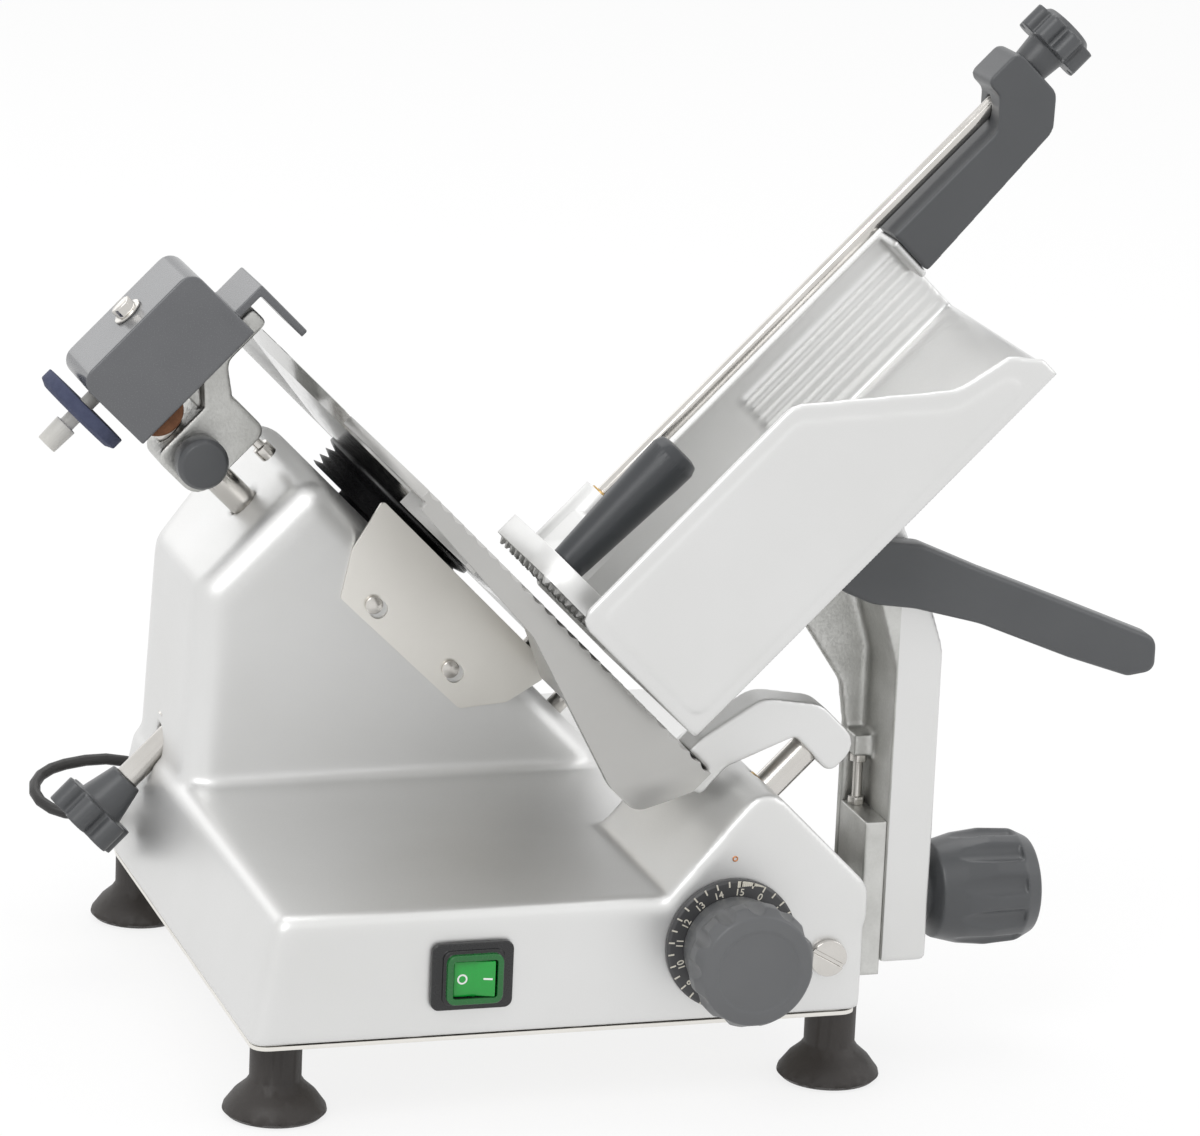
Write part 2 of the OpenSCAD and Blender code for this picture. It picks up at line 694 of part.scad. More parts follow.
module knife_hub() {
  r = hub_d / 2;
  low = tower_n + 2;
  ribs = 3;
  pitch = (hub_top_n - 3 - low) / ribs;
  bore = bearing_d / 2 + run;
  color("black") placed() difference() {
    turned_n(concat([[bore, bearing_n[0] - 4], [hub_shank_r, bearing_n[0] - 4], [hub_shank_r, low],
      [r - 4, low]],
      [for (i = [0 : ribs - 1], q = [0, 1]) [q == 0 ? r - 1 : r - 6, low + (i + 0.2 + q * 0.5) * pitch]],
      [[r - 2, hub_top_n - 3], [r, hub_top_n - 2], [r, hub_top_n], [spindle_d / 2 + 3, hub_top_n],
        [spindle_d / 2 + 3, bearing_n[1] + bearing_w + 4], [bore, bearing_n[1] + bearing_w + 4]]));
    for (i = [0 : 2]) tilted() translate([knife_t, knife_y, hub_top_n - 12]) rotate(i * 120)
      translate([34, 0, 0])
      cylinder(d = 6 + 2 * fit, h = 13);
  }
}

module knife_bolts() {
  seat = hub_top_n + knife_plate;
  color("silver") placed() for (i = [0 : 2])
    tilted() translate([knife_t, knife_y, 0]) rotate(i * 120) translate([34, 0, 0]) {
      translate([0, 0, hub_top_n - 11]) cylinder(d = 6, h = 11 + knife_plate);
      difference() {
        translate([0, 0, seat]) cylinder(d = 11, h = 3.5);
        translate([0, 0, seat + 1.5]) hex(5, 3);
      }
    }
}

module knife_pulley() {
  r = knife_pulley_d / 2;
  n1 = pulley_n + pulley_w;
  color("darkgray") placed() turned_n([
    [hub_shank_r + fit, pulley_n], [r + 2, pulley_n], [r + 2, pulley_n + 2], [r, pulley_n + 2.5],
    [r, n1 - 2.5], [r + 2, n1 - 2], [r + 2, n1], [hub_shank_r + fit, n1]]);
}

module spindle() {
  color("silver") placed() difference() {
    rod_n(knife_t, knife_y, spindle_n0, spindle_top_n, spindle_d);
    rod_n(knife_t, knife_y, spindle_n0 - 1, spindle_top_n + 1, tie_rod_d + 2);
  }
}

module spindle_bearings() {
  color("silver") placed() for (n = bearing_n) difference() {
    rod_n(knife_t, knife_y, n, n + bearing_w, bearing_d);
    rod_n(knife_t, knife_y, n - 1, n + bearing_w + 1, spindle_d + 2 * run);
    for (side = [-1, 1]) tilted() translate([knife_t, knife_y, n + bearing_w / 2 + side * bearing_w / 2])
      rotate_extrude() translate([(bearing_d + spindle_d) / 4, 0]) square([4, 1.6], center = true);
  }
}

// Open belt round two pulleys, as an outline in the plane of the belt
belt_span = motor_t - knife_t;
function belt_path(grow) =
  let (r1 = knife_pulley_d / 2 + clear + grow, r2 = motor_pulley_d / 2 + clear + grow)
  let (a = acos((r1 - r2) / belt_span))
  concat([for (i = [0 : 24]) let (q = a + (360 - 2 * a) * i / 24) r1 * [cos(q), sin(q)]],
    [for (i = [0 : 10]) let (q = -a + 2 * a * i / 10) [belt_span, 0] + r2 * [cos(q), sin(q)]]);
module drive_belt() {
  color("black") placed() tilted() translate([knife_t, knife_y, pulley_n + (pulley_w - belt_w) / 2])
    linear_extrude(belt_w)
    difference() {
      polygon(belt_path(belt_t));
      polygon(belt_path(0));
    }
}

motor_ring_r = motor_d / 2;
module motor() {
  plate_n1 = motor_n1 + motor_plate_t;
  color("silver") placed() difference() {
    union() {
      tilted() translate([motor_t, knife_y, 0]) rotate_extrude() polygon([[0, motor_n0],
        [motor_ring_r - 6, motor_n0],
        [motor_ring_r, motor_n0 + 6], [motor_ring_r, motor_n1 - 6], [motor_ring_r - 4, motor_n1],
        [0, motor_n1]]);
      tilted() box([motor_t - motor_ring_r - 2, tower_front + wall, motor_n1],
        [motor_t + motor_ring_r, base_back - wall, plate_n1]);
    }
    rod_n(motor_t, knife_y, motor_n1 - 16, plate_n1 + 1, motor_shaft_d + 2 * run);
    for (i = [0 : 15]) tilted() translate([motor_t, knife_y, motor_n0 + 20]) rotate(i * 22.5)
      translate([motor_ring_r, 0, 0]) cylinder(d = 4, h = 38);
  }
}

module motor_pulley() {
  r = motor_pulley_d / 2;
  n1 = pulley_n + pulley_w;
  s = motor_shaft_d / 2;
  color("darkgray") placed() tilted() translate([motor_t, knife_y, 0]) rotate_extrude() polygon([
    [0, motor_n1 - 14], [s, motor_n1 - 14], [s, pulley_n], [r + 2, pulley_n], [r + 2, pulley_n + 2],
    [r, pulley_n + 2.5], [r, n1 - 2.5], [r + 2, n1 - 2], [r + 2, n1], [0, n1]]);
}

/* Knife guard */
cover_n = edge_n - 3.7;
module knife_cover() {
  r = cover_d / 2;
  color("silver") placed() difference() {
    turned_n([[0, spindle_top_n], [10, spindle_top_n], [10, cover_n], [r - 1, cover_n], [r, cover_n + 0.8],
      [r - 4, cover_n + 2.5],
      [r - 12, cover_n + 2.2], [0, cover_n + 2.2]]);
    rod_n(knife_t, knife_y, spindle_top_n - 1, cover_n, 8 + 2 * fit);
  }
}

tie_n0 = -58;
module tie_rod() {
  color("silver") placed() {
    rod_n(knife_t, knife_y, tie_n0, spindle_top_n - 4, tie_rod_d);
    rod_n(knife_t, knife_y, spindle_top_n - 4, cover_n - 1, 8);
  }
}

module tie_rod_knob() {
  neck_n = tie_n0 + 11;
  color("dimgray") placed() difference() {
    tilted() translate([knife_t, knife_y, 0]) {
      translate([0, 0, neck_n - 20]) cylinder(d1 = 27, d2 = 18, h = 20);
      translate([0, 0, neck_n - 34]) star(6, 15, 6.5, 15, 15);
    }
    rod_n(knife_t, knife_y, tie_n0 - 1, neck_n + 1, tie_rod_d + 2 * fit);
  }
}

// The ring leaves the knife open over the gauge plate.
ring_n0 = edge_n - 13;
ring_n1 = edge_n + 1;
ring_in_r = knife_r + 3;
ring_r = ring_in_r + ring_w;
ring_a0 = -24;
ring_a1 = 168;
module ring_guard() {
  r = ring_r;
  reach = 4 * ring_r;
  color("gainsboro") placed() difference() {
    turned_n([[ring_in_r + 1, ring_n0 + 4], [ring_in_r + 4, ring_n0], [r - 3, ring_n0], [r, ring_n0 + 3],
      [r, ring_n1 - 4],
      [r - 4, ring_n1], [ring_in_r + 1, ring_n1], [ring_in_r, ring_n1 - 1], [ring_in_r, ring_n0 + 6]]);
    tilted() translate([knife_t, knife_y, ring_n0 - 1]) linear_extrude(ring_n1 - ring_n0 + 2)
      polygon(concat([[0, 0]], [for (a = [ring_a1, (ring_a0 + 360 + ring_a1) / 2, ring_a0 + 360])
        reach * [cos(a), sin(a)]]));
    guard_post_rods(fit, ring_n0 + 6);
  }
}

guard_post_r = (ring_r + ring_in_r) / 2;
module guard_post_rods(grow, top_n)
  for (a = [-6, 20]) tilted() translate([knife_t + guard_post_r * cos(a), knife_y + guard_post_r * sin(a),
    0]) {
    translate([0, 0, tower_n]) cylinder(d = post_d, h = ring_n0 - tower_n);
    translate([0, 0, ring_n0 - 1]) cylinder(d = post_d * 0.5 + 2 * grow, h = top_n - ring_n0 + 1);
  }
module guard_posts() color("silver") placed() guard_post_rods(0, ring_n0 + 5);

deflector_y = tower_front - sheet;
deflector_pins_at = [[-176.6, 104], [-123, 108]];
module slice_deflector() {
  color("tan") placed() tilted() difference() {
    slab_y(deflector_y, tower_front) polygon(rounded([[-191, 94.7], [-104, 97], [-88, 116], [-82, 140],
      [-90, hub_top_n - 5],
      [-212, hub_top_n - 5], [-205, 116]], [2, 4, 8, 6, 6, 2, 8]));
    for (p = deflector_pins_at) {
      rod_slot(p, 6.4);
      translate([4, 0, 0]) rod_slot(p, 9.6);
    }
  }
}
module rod_slot(p, d) translate([p.x, deflector_y - 1, p.y]) rotate([-90, 0, 0])
  cylinder(d = d, h = sheet + 2);

module deflector_pins() {
  color("silver") placed() tilted() for (p = deflector_pins_at) translate([p.x, 0, p.y]) rotate([-90, 0, 0]) {
    translate([0, 0, deflector_y - 2.5]) cylinder(d = 9, h = 2.4);
    translate([0, 0, deflector_y - 0.2]) cylinder(d = 6, h = sheet + 0.2);
  }
}

/* Sharpener */
module sharpener_post() color("silver") placed() rod_t(spost_n, spost_y, spost_t1, tower_t + post_seat_l,
  sharp_post_d);

stem_n0 = spost_n + 18;
stem_n1 = stem_n0 + 18;
stop_n = spost_n + 26;
sknob_t = -285;
// The hooked arm passes just over the knife's edge.
hook_t = knife_t - knife_r - 3;
hook_w = 11;
hook_d = 14;
clamp_y0 = spost_y - 15;
clamp_y1 = spost_y + 15;
module sharpener_bracket() {
  color("gainsboro") placed() difference() {
    union() {
      tilted() slab_y(clamp_y0, clamp_y1) polygon(rounded([[clamp_t0, spost_n - 15],
        [clamp_t1, spost_n - 15], [clamp_t1, spost_n + 34],
        [clamp_t0 + 8, spost_n + 34], [clamp_t0, spost_n + 24]], [6, 10, 6, 6, 4]));
      // Stem up into the housing
      tilted() box([hood_t0 + hood_wall, spost_y - 8, stem_n0], [clamp_t0 + 6, spost_y + 8, stem_n1]);
      // Hooked arm that reaches over to the guard
      tilted() slab_y(clamp_y0, clamp_y0 + hook_d) polygon(rounded([[clamp_t0 + 4, spost_n + 16],
        [clamp_t0 + 12, spost_n + 16],
        [clamp_t0 + 12, spost_n + 30], [hook_t, spost_n + 44], [hook_t, edge_n + 4],
        [hook_t - hook_w, edge_n + 4],
        [hook_t - hook_w, spost_n + 36], [clamp_t0, spost_n + 20]], [2, 2, 10, 8, 3, 3, 14, 4]));
    }
    rod_t(spost_n, spost_y, clamp_t0 - 1, clamp_t1 + 1, sharp_post_d + 2 * run);
    tilted() translate([sknob_t, clamp_y0 - 1, spost_n]) rotate([-90, 0, 0]) cylinder(d = 6.8, h = 12);
    rod_t(stop_n, spost_y, clamp_t1 - 12, clamp_t1 + 1, 5.2);
    rod_t((stem_n0 + stem_n1) / 2, spost_y, hood_t0 + hood_wall - 1, hood_t0 + hood_wall + 16, 6.2);
  }
}

module sharpener_knob() {
  color("dimgray") placed() tilted() translate([sknob_t, clamp_y0, spost_n]) rotate([90, 0, 0]) {
    translate([0, 0, 0.4]) rotate_extrude() polygon([[0, 0], [8, 0], [12, 3], [13, 6], [13, 15], [11, 18],
      [0, 18]]);
    translate([0, 0, -6.5]) cylinder(d = 6, h = 7);
  }
}

module sharpener_stop_screw() {
  color("silver") placed() {
    rod_t(stop_n, spost_y, clamp_t1 - 10, clamp_t1 + 8, 5);
    difference() {
      rod_t(stop_n, spost_y, clamp_t1 + 8, clamp_t1 + 15, 9);
      tilted() translate([clamp_t1 + 12, spost_y, stop_n]) rotate([0, 90, 0]) hex(4.6, 4);
    }
  }
}

debur_t = -317;
debur_n = spost_n + 3;
debur_y = hood_y0 + hood_wall;
flange_n = edge_n + 11;
module sharpener_housing() {
  color("dimgray") placed() difference() {
    tilted() union() {
      difference() {
        slab_y(hood_y0, hood_y1) polygon(rounded([[hood_t0, hood_n0], [hood_t1, hood_n0],
          [hood_t1, hood_n1], [hood_t0, hood_n1]],
          [8, 0, 0, 8]));
        slab_y(hood_y0 + hood_wall, hood_y1 - hood_wall)
          polygon(rounded([[hood_t0 + hood_wall, hood_n0 + hood_wall],
          [hood_t1 + 1, hood_n0 + hood_wall], [hood_t1 + 1, hood_n1 - hood_wall],
          [hood_t0 + hood_wall, hood_n1 - hood_wall]],
          [5, 0, 0, 5]));
      }
      // Guard flange over the knife's edge
      slab_y(hood_y0 + 3, hood_y1 - 3) polygon([[hood_t1 - 14, hood_n1 - 1], [hood_t1 - 14, flange_n + 4],
        [hood_t1 + 20, flange_n + 4], [hood_t1 + 20, flange_n], [hood_t1 - 10, flange_n],
        [hood_t1 - 10, hood_n1 - 1]]);
      // Pin that carries the deburring stone
      translate([debur_t, debur_y - 1, debur_n]) rotate([-90, 0, 0]) cylinder(d = 5, h = 11.5);
    }
    rod_n(stone_t, stone_y, hood_n0 - 1, hood_n0 + hood_wall + 1, 8 + 2 * run);
    rod_t((stem_n0 + stem_n1) / 2, spost_y, hood_t0 - 1, hood_t0 + hood_wall + 1, 6.2);
    // Notch for the hooked arm
    tilted() box([hook_t - hook_w - fit, clamp_y0 - fit, hood_n1 - 2 * hood_wall],
      [hood_t1 + 1, clamp_y0 + hook_d + fit, hood_n1 + 1]);
  }
}

module sharpener_bolt() {
  n = (stem_n0 + stem_n1) / 2;
  color("silver") placed() {
    rod_t(n, spost_y, hood_t0, hood_t0 + hood_wall + 14, 6);
    rod_t(n, spost_y, hood_t0 - 1.5, hood_t0, 16);
    tilted() translate([hood_t0 - 6.5, spost_y, n]) rotate([0, 90, 0]) hex(11.5, 5);
  }
}

module grinding_stone() {
  r = stone_d / 2;
  color("slateblue") placed() tilted() translate([stone_t, stone_y, stone_n]) difference() {
    rotate_extrude() polygon([[0, 0], [r - 4, 0], [r, 2], [r, stone_w], [0, stone_w]]);
    translate([0, 0, -1]) cylinder(d = 8 + 2 * run, h = stone_w + 2);
  }
}

module deburring_stone() {
  color("saddlebrown") placed() tilted() translate([debur_t, debur_y + 1.5, debur_n]) rotate([-90, 0, 0])
    difference() {
    rotate_extrude() polygon([[0, 0], [12, 0], [13, 1], [10, 8], [0, 8]]);
    translate([0, 0, -1]) cylinder(d = 5 + 2 * run, h = 10);
  }
}

button_n = 46;
module stone_button() {
  color("lightgray") placed() tilted() translate([stone_t, stone_y, 0]) {
    translate([0, 0, button_n]) cylinder(d1 = 11, d2 = 12, h = 14);
    translate([0, 0, button_n + 14]) cylinder(d = 8, h = stem_n0 - 6 - button_n - 14);
    translate([0, 0, hood_n0 + hood_wall + 1]) cylinder(d = 13, h = 2);
  }
}

/* Carriage */
arm_top_n0 = 255;
arm_top_n1 = 322;
module carriage_arm() {
  flange_t = 6;
  lug_z = upright_z1 + 26;
  color("gainsboro") placed() difference() {
    union() {
      // Outer web
      slab_y(arm_y0, arm_y1) polygon(rounded([xz(tray_t, arm_top_n1 - 34), [arm_x0 - 10, 232],
        [arm_x0, 198], [arm_x0, base_z + 2],
        [arm_x1, base_z + 2], [arm_x1, 206], [arm_x1 - 11, 240], xz(tray_t, arm_top_n1)],
        [0, 12, 14, 2, 3, 20, 30, 0]));
      // Far flange
      slab_y(arm_y1 - flange_t, arm_y1) polygon([xz(tray_t, arm_top_n0), [159, 180], [upright_x, 160],
        [upright_x, base_z + 2],
        [arm_x0 + 2, base_z + 2], [arm_x0 + 2, 200], xz(tray_t, arm_top_n1 - 10)]);
      // Seat under the tray
      slab_y(arm_y0, arm_y1) polygon([xz(tray_t, arm_top_n0), xz(tray_t + 8, arm_top_n0 + 4),
        xz(tray_t + 8, arm_top_n1 - 20),
        xz(tray_t, arm_top_n1 - 20)]);
      // Lug over the adjusting bolt
      box([arm_x0 - 10, arm_y1 - flange_t - 14, lug_z], [arm_x0 + 1, arm_y1 - flange_t + 1, lug_z + 11]);
    }
    rod_x(clamp_y, clamp_z, arm_x0 - 1, arm_x1 + 1, stud_d + 1);
  }
}

module slide_block() {
  y1 = block_y0 + block_l;
  up_y1 = arm_y1 - 7;
  lug_y = block_y0 + 20;
  color("gainsboro") placed() difference() {
    union() {
      box([upright_x, arm_y0, upright_z0], [arm_x0, up_y1, upright_z1]);
      box([slide_x, arm_y0 + 2, slide_z - 13], [upright_x + 1, up_y1 - 2, slide_z + 13]);
      rod_y(slide_x, slide_z, block_y0, y1, barrel_d);
      // Lug that steadies the block on the guide rod
      slab_y(lug_y, lug_y + 30) polygon([[guide_x - 8, guide_z - 4], [guide_x + 6, guide_z - 5],
        [slide_x, slide_z - 4],
        [slide_x - 6, slide_z + 8], [guide_x - 6, guide_z + 8]]);
      rod_y(guide_x, guide_z, lug_y, lug_y + 30, guide_rod_d + 7);
    }
    rod_y(slide_x, slide_z, block_y0 - 1, y1 + 1, bush_d + 2 * fit);
    rod_y(guide_x, guide_z, lug_y - 1, lug_y + 31, guide_rod_d + 2 * run);
    rod_x(clamp_y, clamp_z, upright_x - 14, arm_x0 + 1, stud_d + 0.8);
  }
}

module slide_bushes() {
  color("darkgoldenrod") placed() for (y = [block_y0 + 2, block_y0 + block_l - 20]) difference() {
    rod_y(slide_x, slide_z, y, y + 18, bush_d);
    rod_y(slide_x, slide_z, y - 1, y + 19, slide_rod_d + 2 * run);
  }
}

module adjusting_bolt() {
  x = arm_x0 - 5;
  y = arm_y1 - 13;
  color("silver") placed() translate([x, y, upright_z1]) {
    cylinder(d = 5, h = 26);
    hex(9, 4);
    translate([0, 0, 22]) hex(9, 4);
  }
}

module clamp_knob() {
  r = clamp_knob_d / 2;
  x0 = arm_x1 + clear;
  flutes = 10;
  color("dimgray") placed() {
    translate([x0, clamp_y, clamp_z]) rotate([0, 90, 0]) difference() {
      rotate_extrude() polygon([[0, 0], [13, 0], [14, 4], [r - 5, 7], [r - 1.5, 20], [r, 34], [r - 1, 50],
        [r - 5, 58], [r - 10, 60],
        [0, 60]]);
      for (i = [0 : flutes - 1]) rotate(i * 360 / flutes) translate([r + 5, 0, 14]) rotate([0, -2, 0])
        cylinder(r = 7.5, h = 36);
    }
    rod_x(clamp_y, clamp_z, upright_x - 12, x0 + 1, stud_d);
  }
}

handle_t = 15;
handle_z = 222;
module carriage_handle() {
  outline = [[-65, 22], [-43, 12], [-21, 9], [13, 0], [60, -19], [92, -30], [106, -28], [106, -11], [60, 8],
    [13, 27], [-19, 41], [-43, 44]];
  corner_radii = [6, 30, 40, 60, 60, 8, 6, 8, 80, 60, 14, 12];
  color("dimgray") placed() translate([arm_x1, 0, handle_z]) slab_y(arm_y0 - handle_t, arm_y0)
    polygon(rounded(outline, corner_radii));
}

/* Food tray */
tray_ribs = 7;
module food_tray() {
  near_top = floor_t - near_wall_h;
  far_top = floor_t - far_wall_h;
  near = [[tray_t, tray_n0], [tray_t, tray_n1], [floor_t - 6, tray_n1], [floor_t - 20, tray_n1 - 11],
    [floor_t - 27, tray_n1 - 40], [near_top, tray_n1 - 101], [near_top, tray_n0]];
  near_r = [3, 3, 3, 6, 18, 14, 8];
  edge = 8;
  panel = [[floor_t - edge / 2, tray_n0 + edge], [floor_t - edge / 2, tray_n1 - 13],
    [floor_t - 13, tray_n1 - 20],
    [floor_t - 20, tray_n1 - 47], [near_top + edge, tray_n1 - 105], [near_top + edge, tray_n0 + edge]];
  color("gainsboro") placed() difference() {
    union() {
      tilted() slab_y(tray_y0, tray_y0 + tray_wall) polygon(rounded(near, near_r));
      tilted() slab_y(tray_y0 - 1.2, tray_y0 + 1) polygon(rounded(panel, [6, 4, 8, 14, 10, 6]));
      tilted() box([floor_t, tray_y0, tray_n0], [tray_t, tray_y1, tray_n1]);
      tilted() slab_y(tray_y1 - tray_wall, tray_y1)
        polygon(rounded([[tray_t, tray_n0], [tray_t, tray_n1], [far_top, tray_n1], [far_top, tray_n0]],
          [0, 0, 3, 3]));
      // Ribs on the far wall
      for (i = [0 : tray_ribs - 1])
        rod_n(floor_t - 8 - i * 5.4, tray_y1 - tray_wall, tray_n1 - 108, tray_n1 - 1, 3.4);
      // Lower eye of the pusher rod
      tilted() box([prod_t - 6, prod_y - 6, prod_n0], [far_top + 1, tray_y1, prod_n0 + 11]);
      // Seat of the rod bracket
      tilted() box([far_top, prod_y - 14, tray_n1 - 4], [far_top + 24, tray_y1, tray_n1]);
    }
    rod_n(prod_t, prod_y, prod_n0 - 1, prod_n0 + 12, pusher_rod_d + 2 * fit);
  }
}

module pusher_rod() color("silver") placed() rod_n(prod_t, prod_y, prod_n0, hook_n1 + 18, pusher_rod_d);

module pusher_bracket() {
  color("dimgray") placed() difference() {
    tilted() slab_y(prod_y - 16, prod_y + 11) polygon(rounded([[prod_t + 6, tray_n1],
      [prod_t + 32, tray_n1], [prod_t + 27, hook_n1 - 14],
      [prod_t + 14, hook_n1], [prod_t - 16, hook_n1], [prod_t - 16, hook_n0], [prod_t - 6, hook_n0],
      [prod_t + 6, hook_n0 - 12]],
      [0, 2, 10, 8, 5, 4, 4, 8]));
    rod_n(prod_t, prod_y, hook_n0 - 20, hook_n1 + 1, pusher_rod_d + 2 * fit);
  }
}

module pusher_end_knob() {
  lobes = 8;
  core_r = 14.5;
  star_z0 = 12;
  star_z1 = 26;
  color("dimgray") placed() difference() {
    tilted() translate([prod_t, prod_y, hook_n1 + clear]) {
      rotate_extrude() polygon([[0, 0], [9.5, 0], [10.8, star_z0], [core_r, star_z0],
        [core_r, star_z1 - 0.5],
        [core_r - 2, star_z1 + 2], [0, star_z1 + 2]]);
      for (i = [0 : lobes - 1]) rotate(i * 360 / lobes) translate([core_r, 0, star_z0])
        cylinder(r = 4.6, h = star_z1 - star_z0 - 1);
    }
    rod_n(prod_t, prod_y, hook_n1, hook_n1 + 18 + clear, pusher_rod_d + 0.8);
  }
}

module pusher_sleeve() {
  color("darkgoldenrod") placed() difference() {
    rod_n(prod_t, prod_y, sleeve_n0, sleeve_n0 + sleeve_l, sleeve_d);
    rod_n(prod_t, prod_y, sleeve_n0 - 1, sleeve_n0 + sleeve_l + 1, pusher_rod_d + 2 * run);
  }
}

press_t0 = -196;
press_t1 = -133;
press_y0 = tray_y0 + 28;
press_y1 = prod_y - 14;
module food_pusher() {
  cols = floor((press_t1 - press_t0 - 6) / tooth_pitch);
  rows = floor((press_y1 - press_y0 - 6) / tooth_pitch);
  eye_n0 = sleeve_n0 + 1;
  eye_n1 = sleeve_n0 + sleeve_l - 1;
  color("gainsboro") placed() difference() {
    union() {
      tilted() translate([0, 0, press_n0]) linear_extrude(press_n1 - press_n0)
        polygon(rounded([[press_t0, press_y0], [press_t1, press_y0],
        [press_t1, press_y1], [press_t0, press_y1]], [26, 10, 10, 20]));
      tilted() for (i = [0 : cols - 1], j = [0 : rows - 1])
        translate([press_t0 + 7 + i * tooth_pitch, press_y0 + 7 + j * tooth_pitch, press_n0 - 3])
          rotate(45) cylinder(d1 = 1.5, d2 = 5.5, h = 3.2, $fn = 4);
      // Arm to the eye on the rod
      tilted() slab_y(press_y1 - 34, prod_y - 1) polygon(rounded([[prod_t - 8, press_n1 - 1],
        [prod_t + 6, press_n1 - 1],
        [prod_t + 6, eye_n1 - 12], [prod_t - 8, eye_n1 - 12]], [0, 0, 5, 5]));
      rod_n(prod_t, prod_y, eye_n0, eye_n1, sleeve_d + 7);
    }
    rod_n(prod_t, prod_y, press_n0 - 4, eye_n1 + 1, sleeve_d + 2 * run);
    rod_n(press_handle_t, press_handle_y, press_n1 - 6, press_n1 + 1, 8 + 2 * fit);
  }
}

press_handle_t = -178;
press_handle_y = base_front + 62;
module pusher_handle() {
  color("dimgray") placed() tilted() translate([press_handle_t, press_handle_y, press_n1]) rotate_extrude()
    polygon([[0, -5], [4, -5], [4, 0], [9, 0], [9.4, 6], [12.3, pusher_handle_l - 14],
      [12.6, pusher_handle_l - 5],
      [11, pusher_handle_l - 1], [8, pusher_handle_l], [0, pusher_handle_l]]);
}

/* Cord */
module cord_gland() {
  mouth = cord_route[0].x;
  seat = gland_boss_x - mouth;
  bore = cord_d / 2;
  color("lightgray") placed() translate([mouth, gland_y, gland_z]) rotate([0, 90, 0]) rotate_extrude()
    polygon([[0, 0], [bore + 2, 0], [bore + 4, 1.5], [bore + 5.5, seat], [gland_d / 2, seat],
      [gland_d / 2, seat + gland_in], [0, seat + gland_in]]);
}

// Ring of points round a path point, square to the path
function ring(c, dir, r, sides, up = [0, 0, 1]) =
  let (u = unit(cross(up, dir)), v = unit(cross(dir, u)))
  [for (k = [0 : sides - 1]) c + r * (cos(k * 360 / sides) * u + sin(k * 360 / sides) * v)];
function heading(p, i) = unit(p[min(i + 1, len(p) - 1)] - p[max(i - 1, 0)]);
module tube(path, r, sides) {
  n = len(path);
  pts = [for (i = [0 : n - 1]) each ring(path[i], heading(path, i), r, sides)];
  walls = [for (i = [0 : n - 2], k = [0 : sides - 1])
    let (a = i * sides + k, b = i * sides + (k + 1) % sides)
    each [[a, a + sides, b], [b, a + sides, b + sides]]];
  caps = [for (k = [1 : sides - 2]) each [[0, k, k + 1],
    [(n - 1) * sides, (n - 1) * sides + k + 1, (n - 1) * sides + k]]];
  polyhedron(points = pts, faces = concat(walls, caps), convexity = 6);
}

module cord_run() color("black") placed() tube(cord_route, cord_d / 2, 10);

// The coil winds in on the floor, climbs a layer where it turns back, and winds out.
rings_per_loop = 24;
function coil_point(u) =
  let (r = coil_in_r + coil_pitch * abs(u - coil_turns))
  let (f = max(0, min(1, (u - coil_turns + 0.25) / 0.5)))
  [coil_c.x + r * cos(360 * u - 90), coil_c.y + r * sin(360 * u - 90),
    coil_z + coil_pitch * (1 - cos(180 * f)) / 2];
coil_path = concat([[coil_c.x - cord_d, coil_c.y - coil_out_r, coil_z]],
  [for (i = [0 : rings_per_loop * 2 * coil_turns]) coil_point(i / rings_per_loop)],
  [[coil_c.x + cord_d, coil_c.y - coil_out_r, coil_z + coil_pitch],
    [coil_c.x + coil_tail, coil_c.y - coil_out_r, coil_z + coil_pitch]]);
coil_gap = min([for (i = [0 : len(coil_path) - 13], j = [i + 12 : len(coil_path) - 1])
  norm(coil_path[i] - coil_path[j])]) - cord_d;
echo(least_gap_in_coil = coil_gap);
module cord_coil() color("black") placed() tube(coil_path, cord_d / 2, 6);

module cord_tie() {
  t = 0.9;
  gap = 0.3;
  in_x = coil_in_r - cord_d / 2 - gap;
  out_x = coil_out_r + cord_d / 2 + gap;
  low = coil_z - cord_d / 2 - gap;
  high = coil_z + coil_pitch + cord_d / 2 + gap;
  color("black") placed() translate([coil_c.x, coil_c.y, 0]) difference() {
    box([in_x - t, -4, low - t], [out_x + t, 4, high + t]);
    box([in_x, -5, low], [out_x, 5, high]);
  }
}

module cord_plug() {
  x0 = coil_c.x + coil_tail;
  y = coil_c.y - coil_out_r;
  z = coil_z + coil_pitch;
  color("black") placed() translate([x0, y, z]) {
    rotate([0, 90, 0]) cylinder(d1 = cord_d + 3, d2 = 15, h = 14);
    translate([10, 0, 0]) slab_x(0, plug_l - 10) polygon(rounded([[-plug_w / 2, -z], [plug_w / 2, -z],
      [plug_w / 2, z], [-plug_w / 2, z]], 7));
  }
  color("silver") placed() translate([x0 + plug_l, y, z]) {
    for (s = [-1, 1]) translate([0, s * 6.35 - 0.75, -3]) cube([17, 1.5, 6.3]);
    translate([0, 0, -7.5]) rotate([0, 90, 0]) cylinder(d = 4.7, h = 19);
  }
}

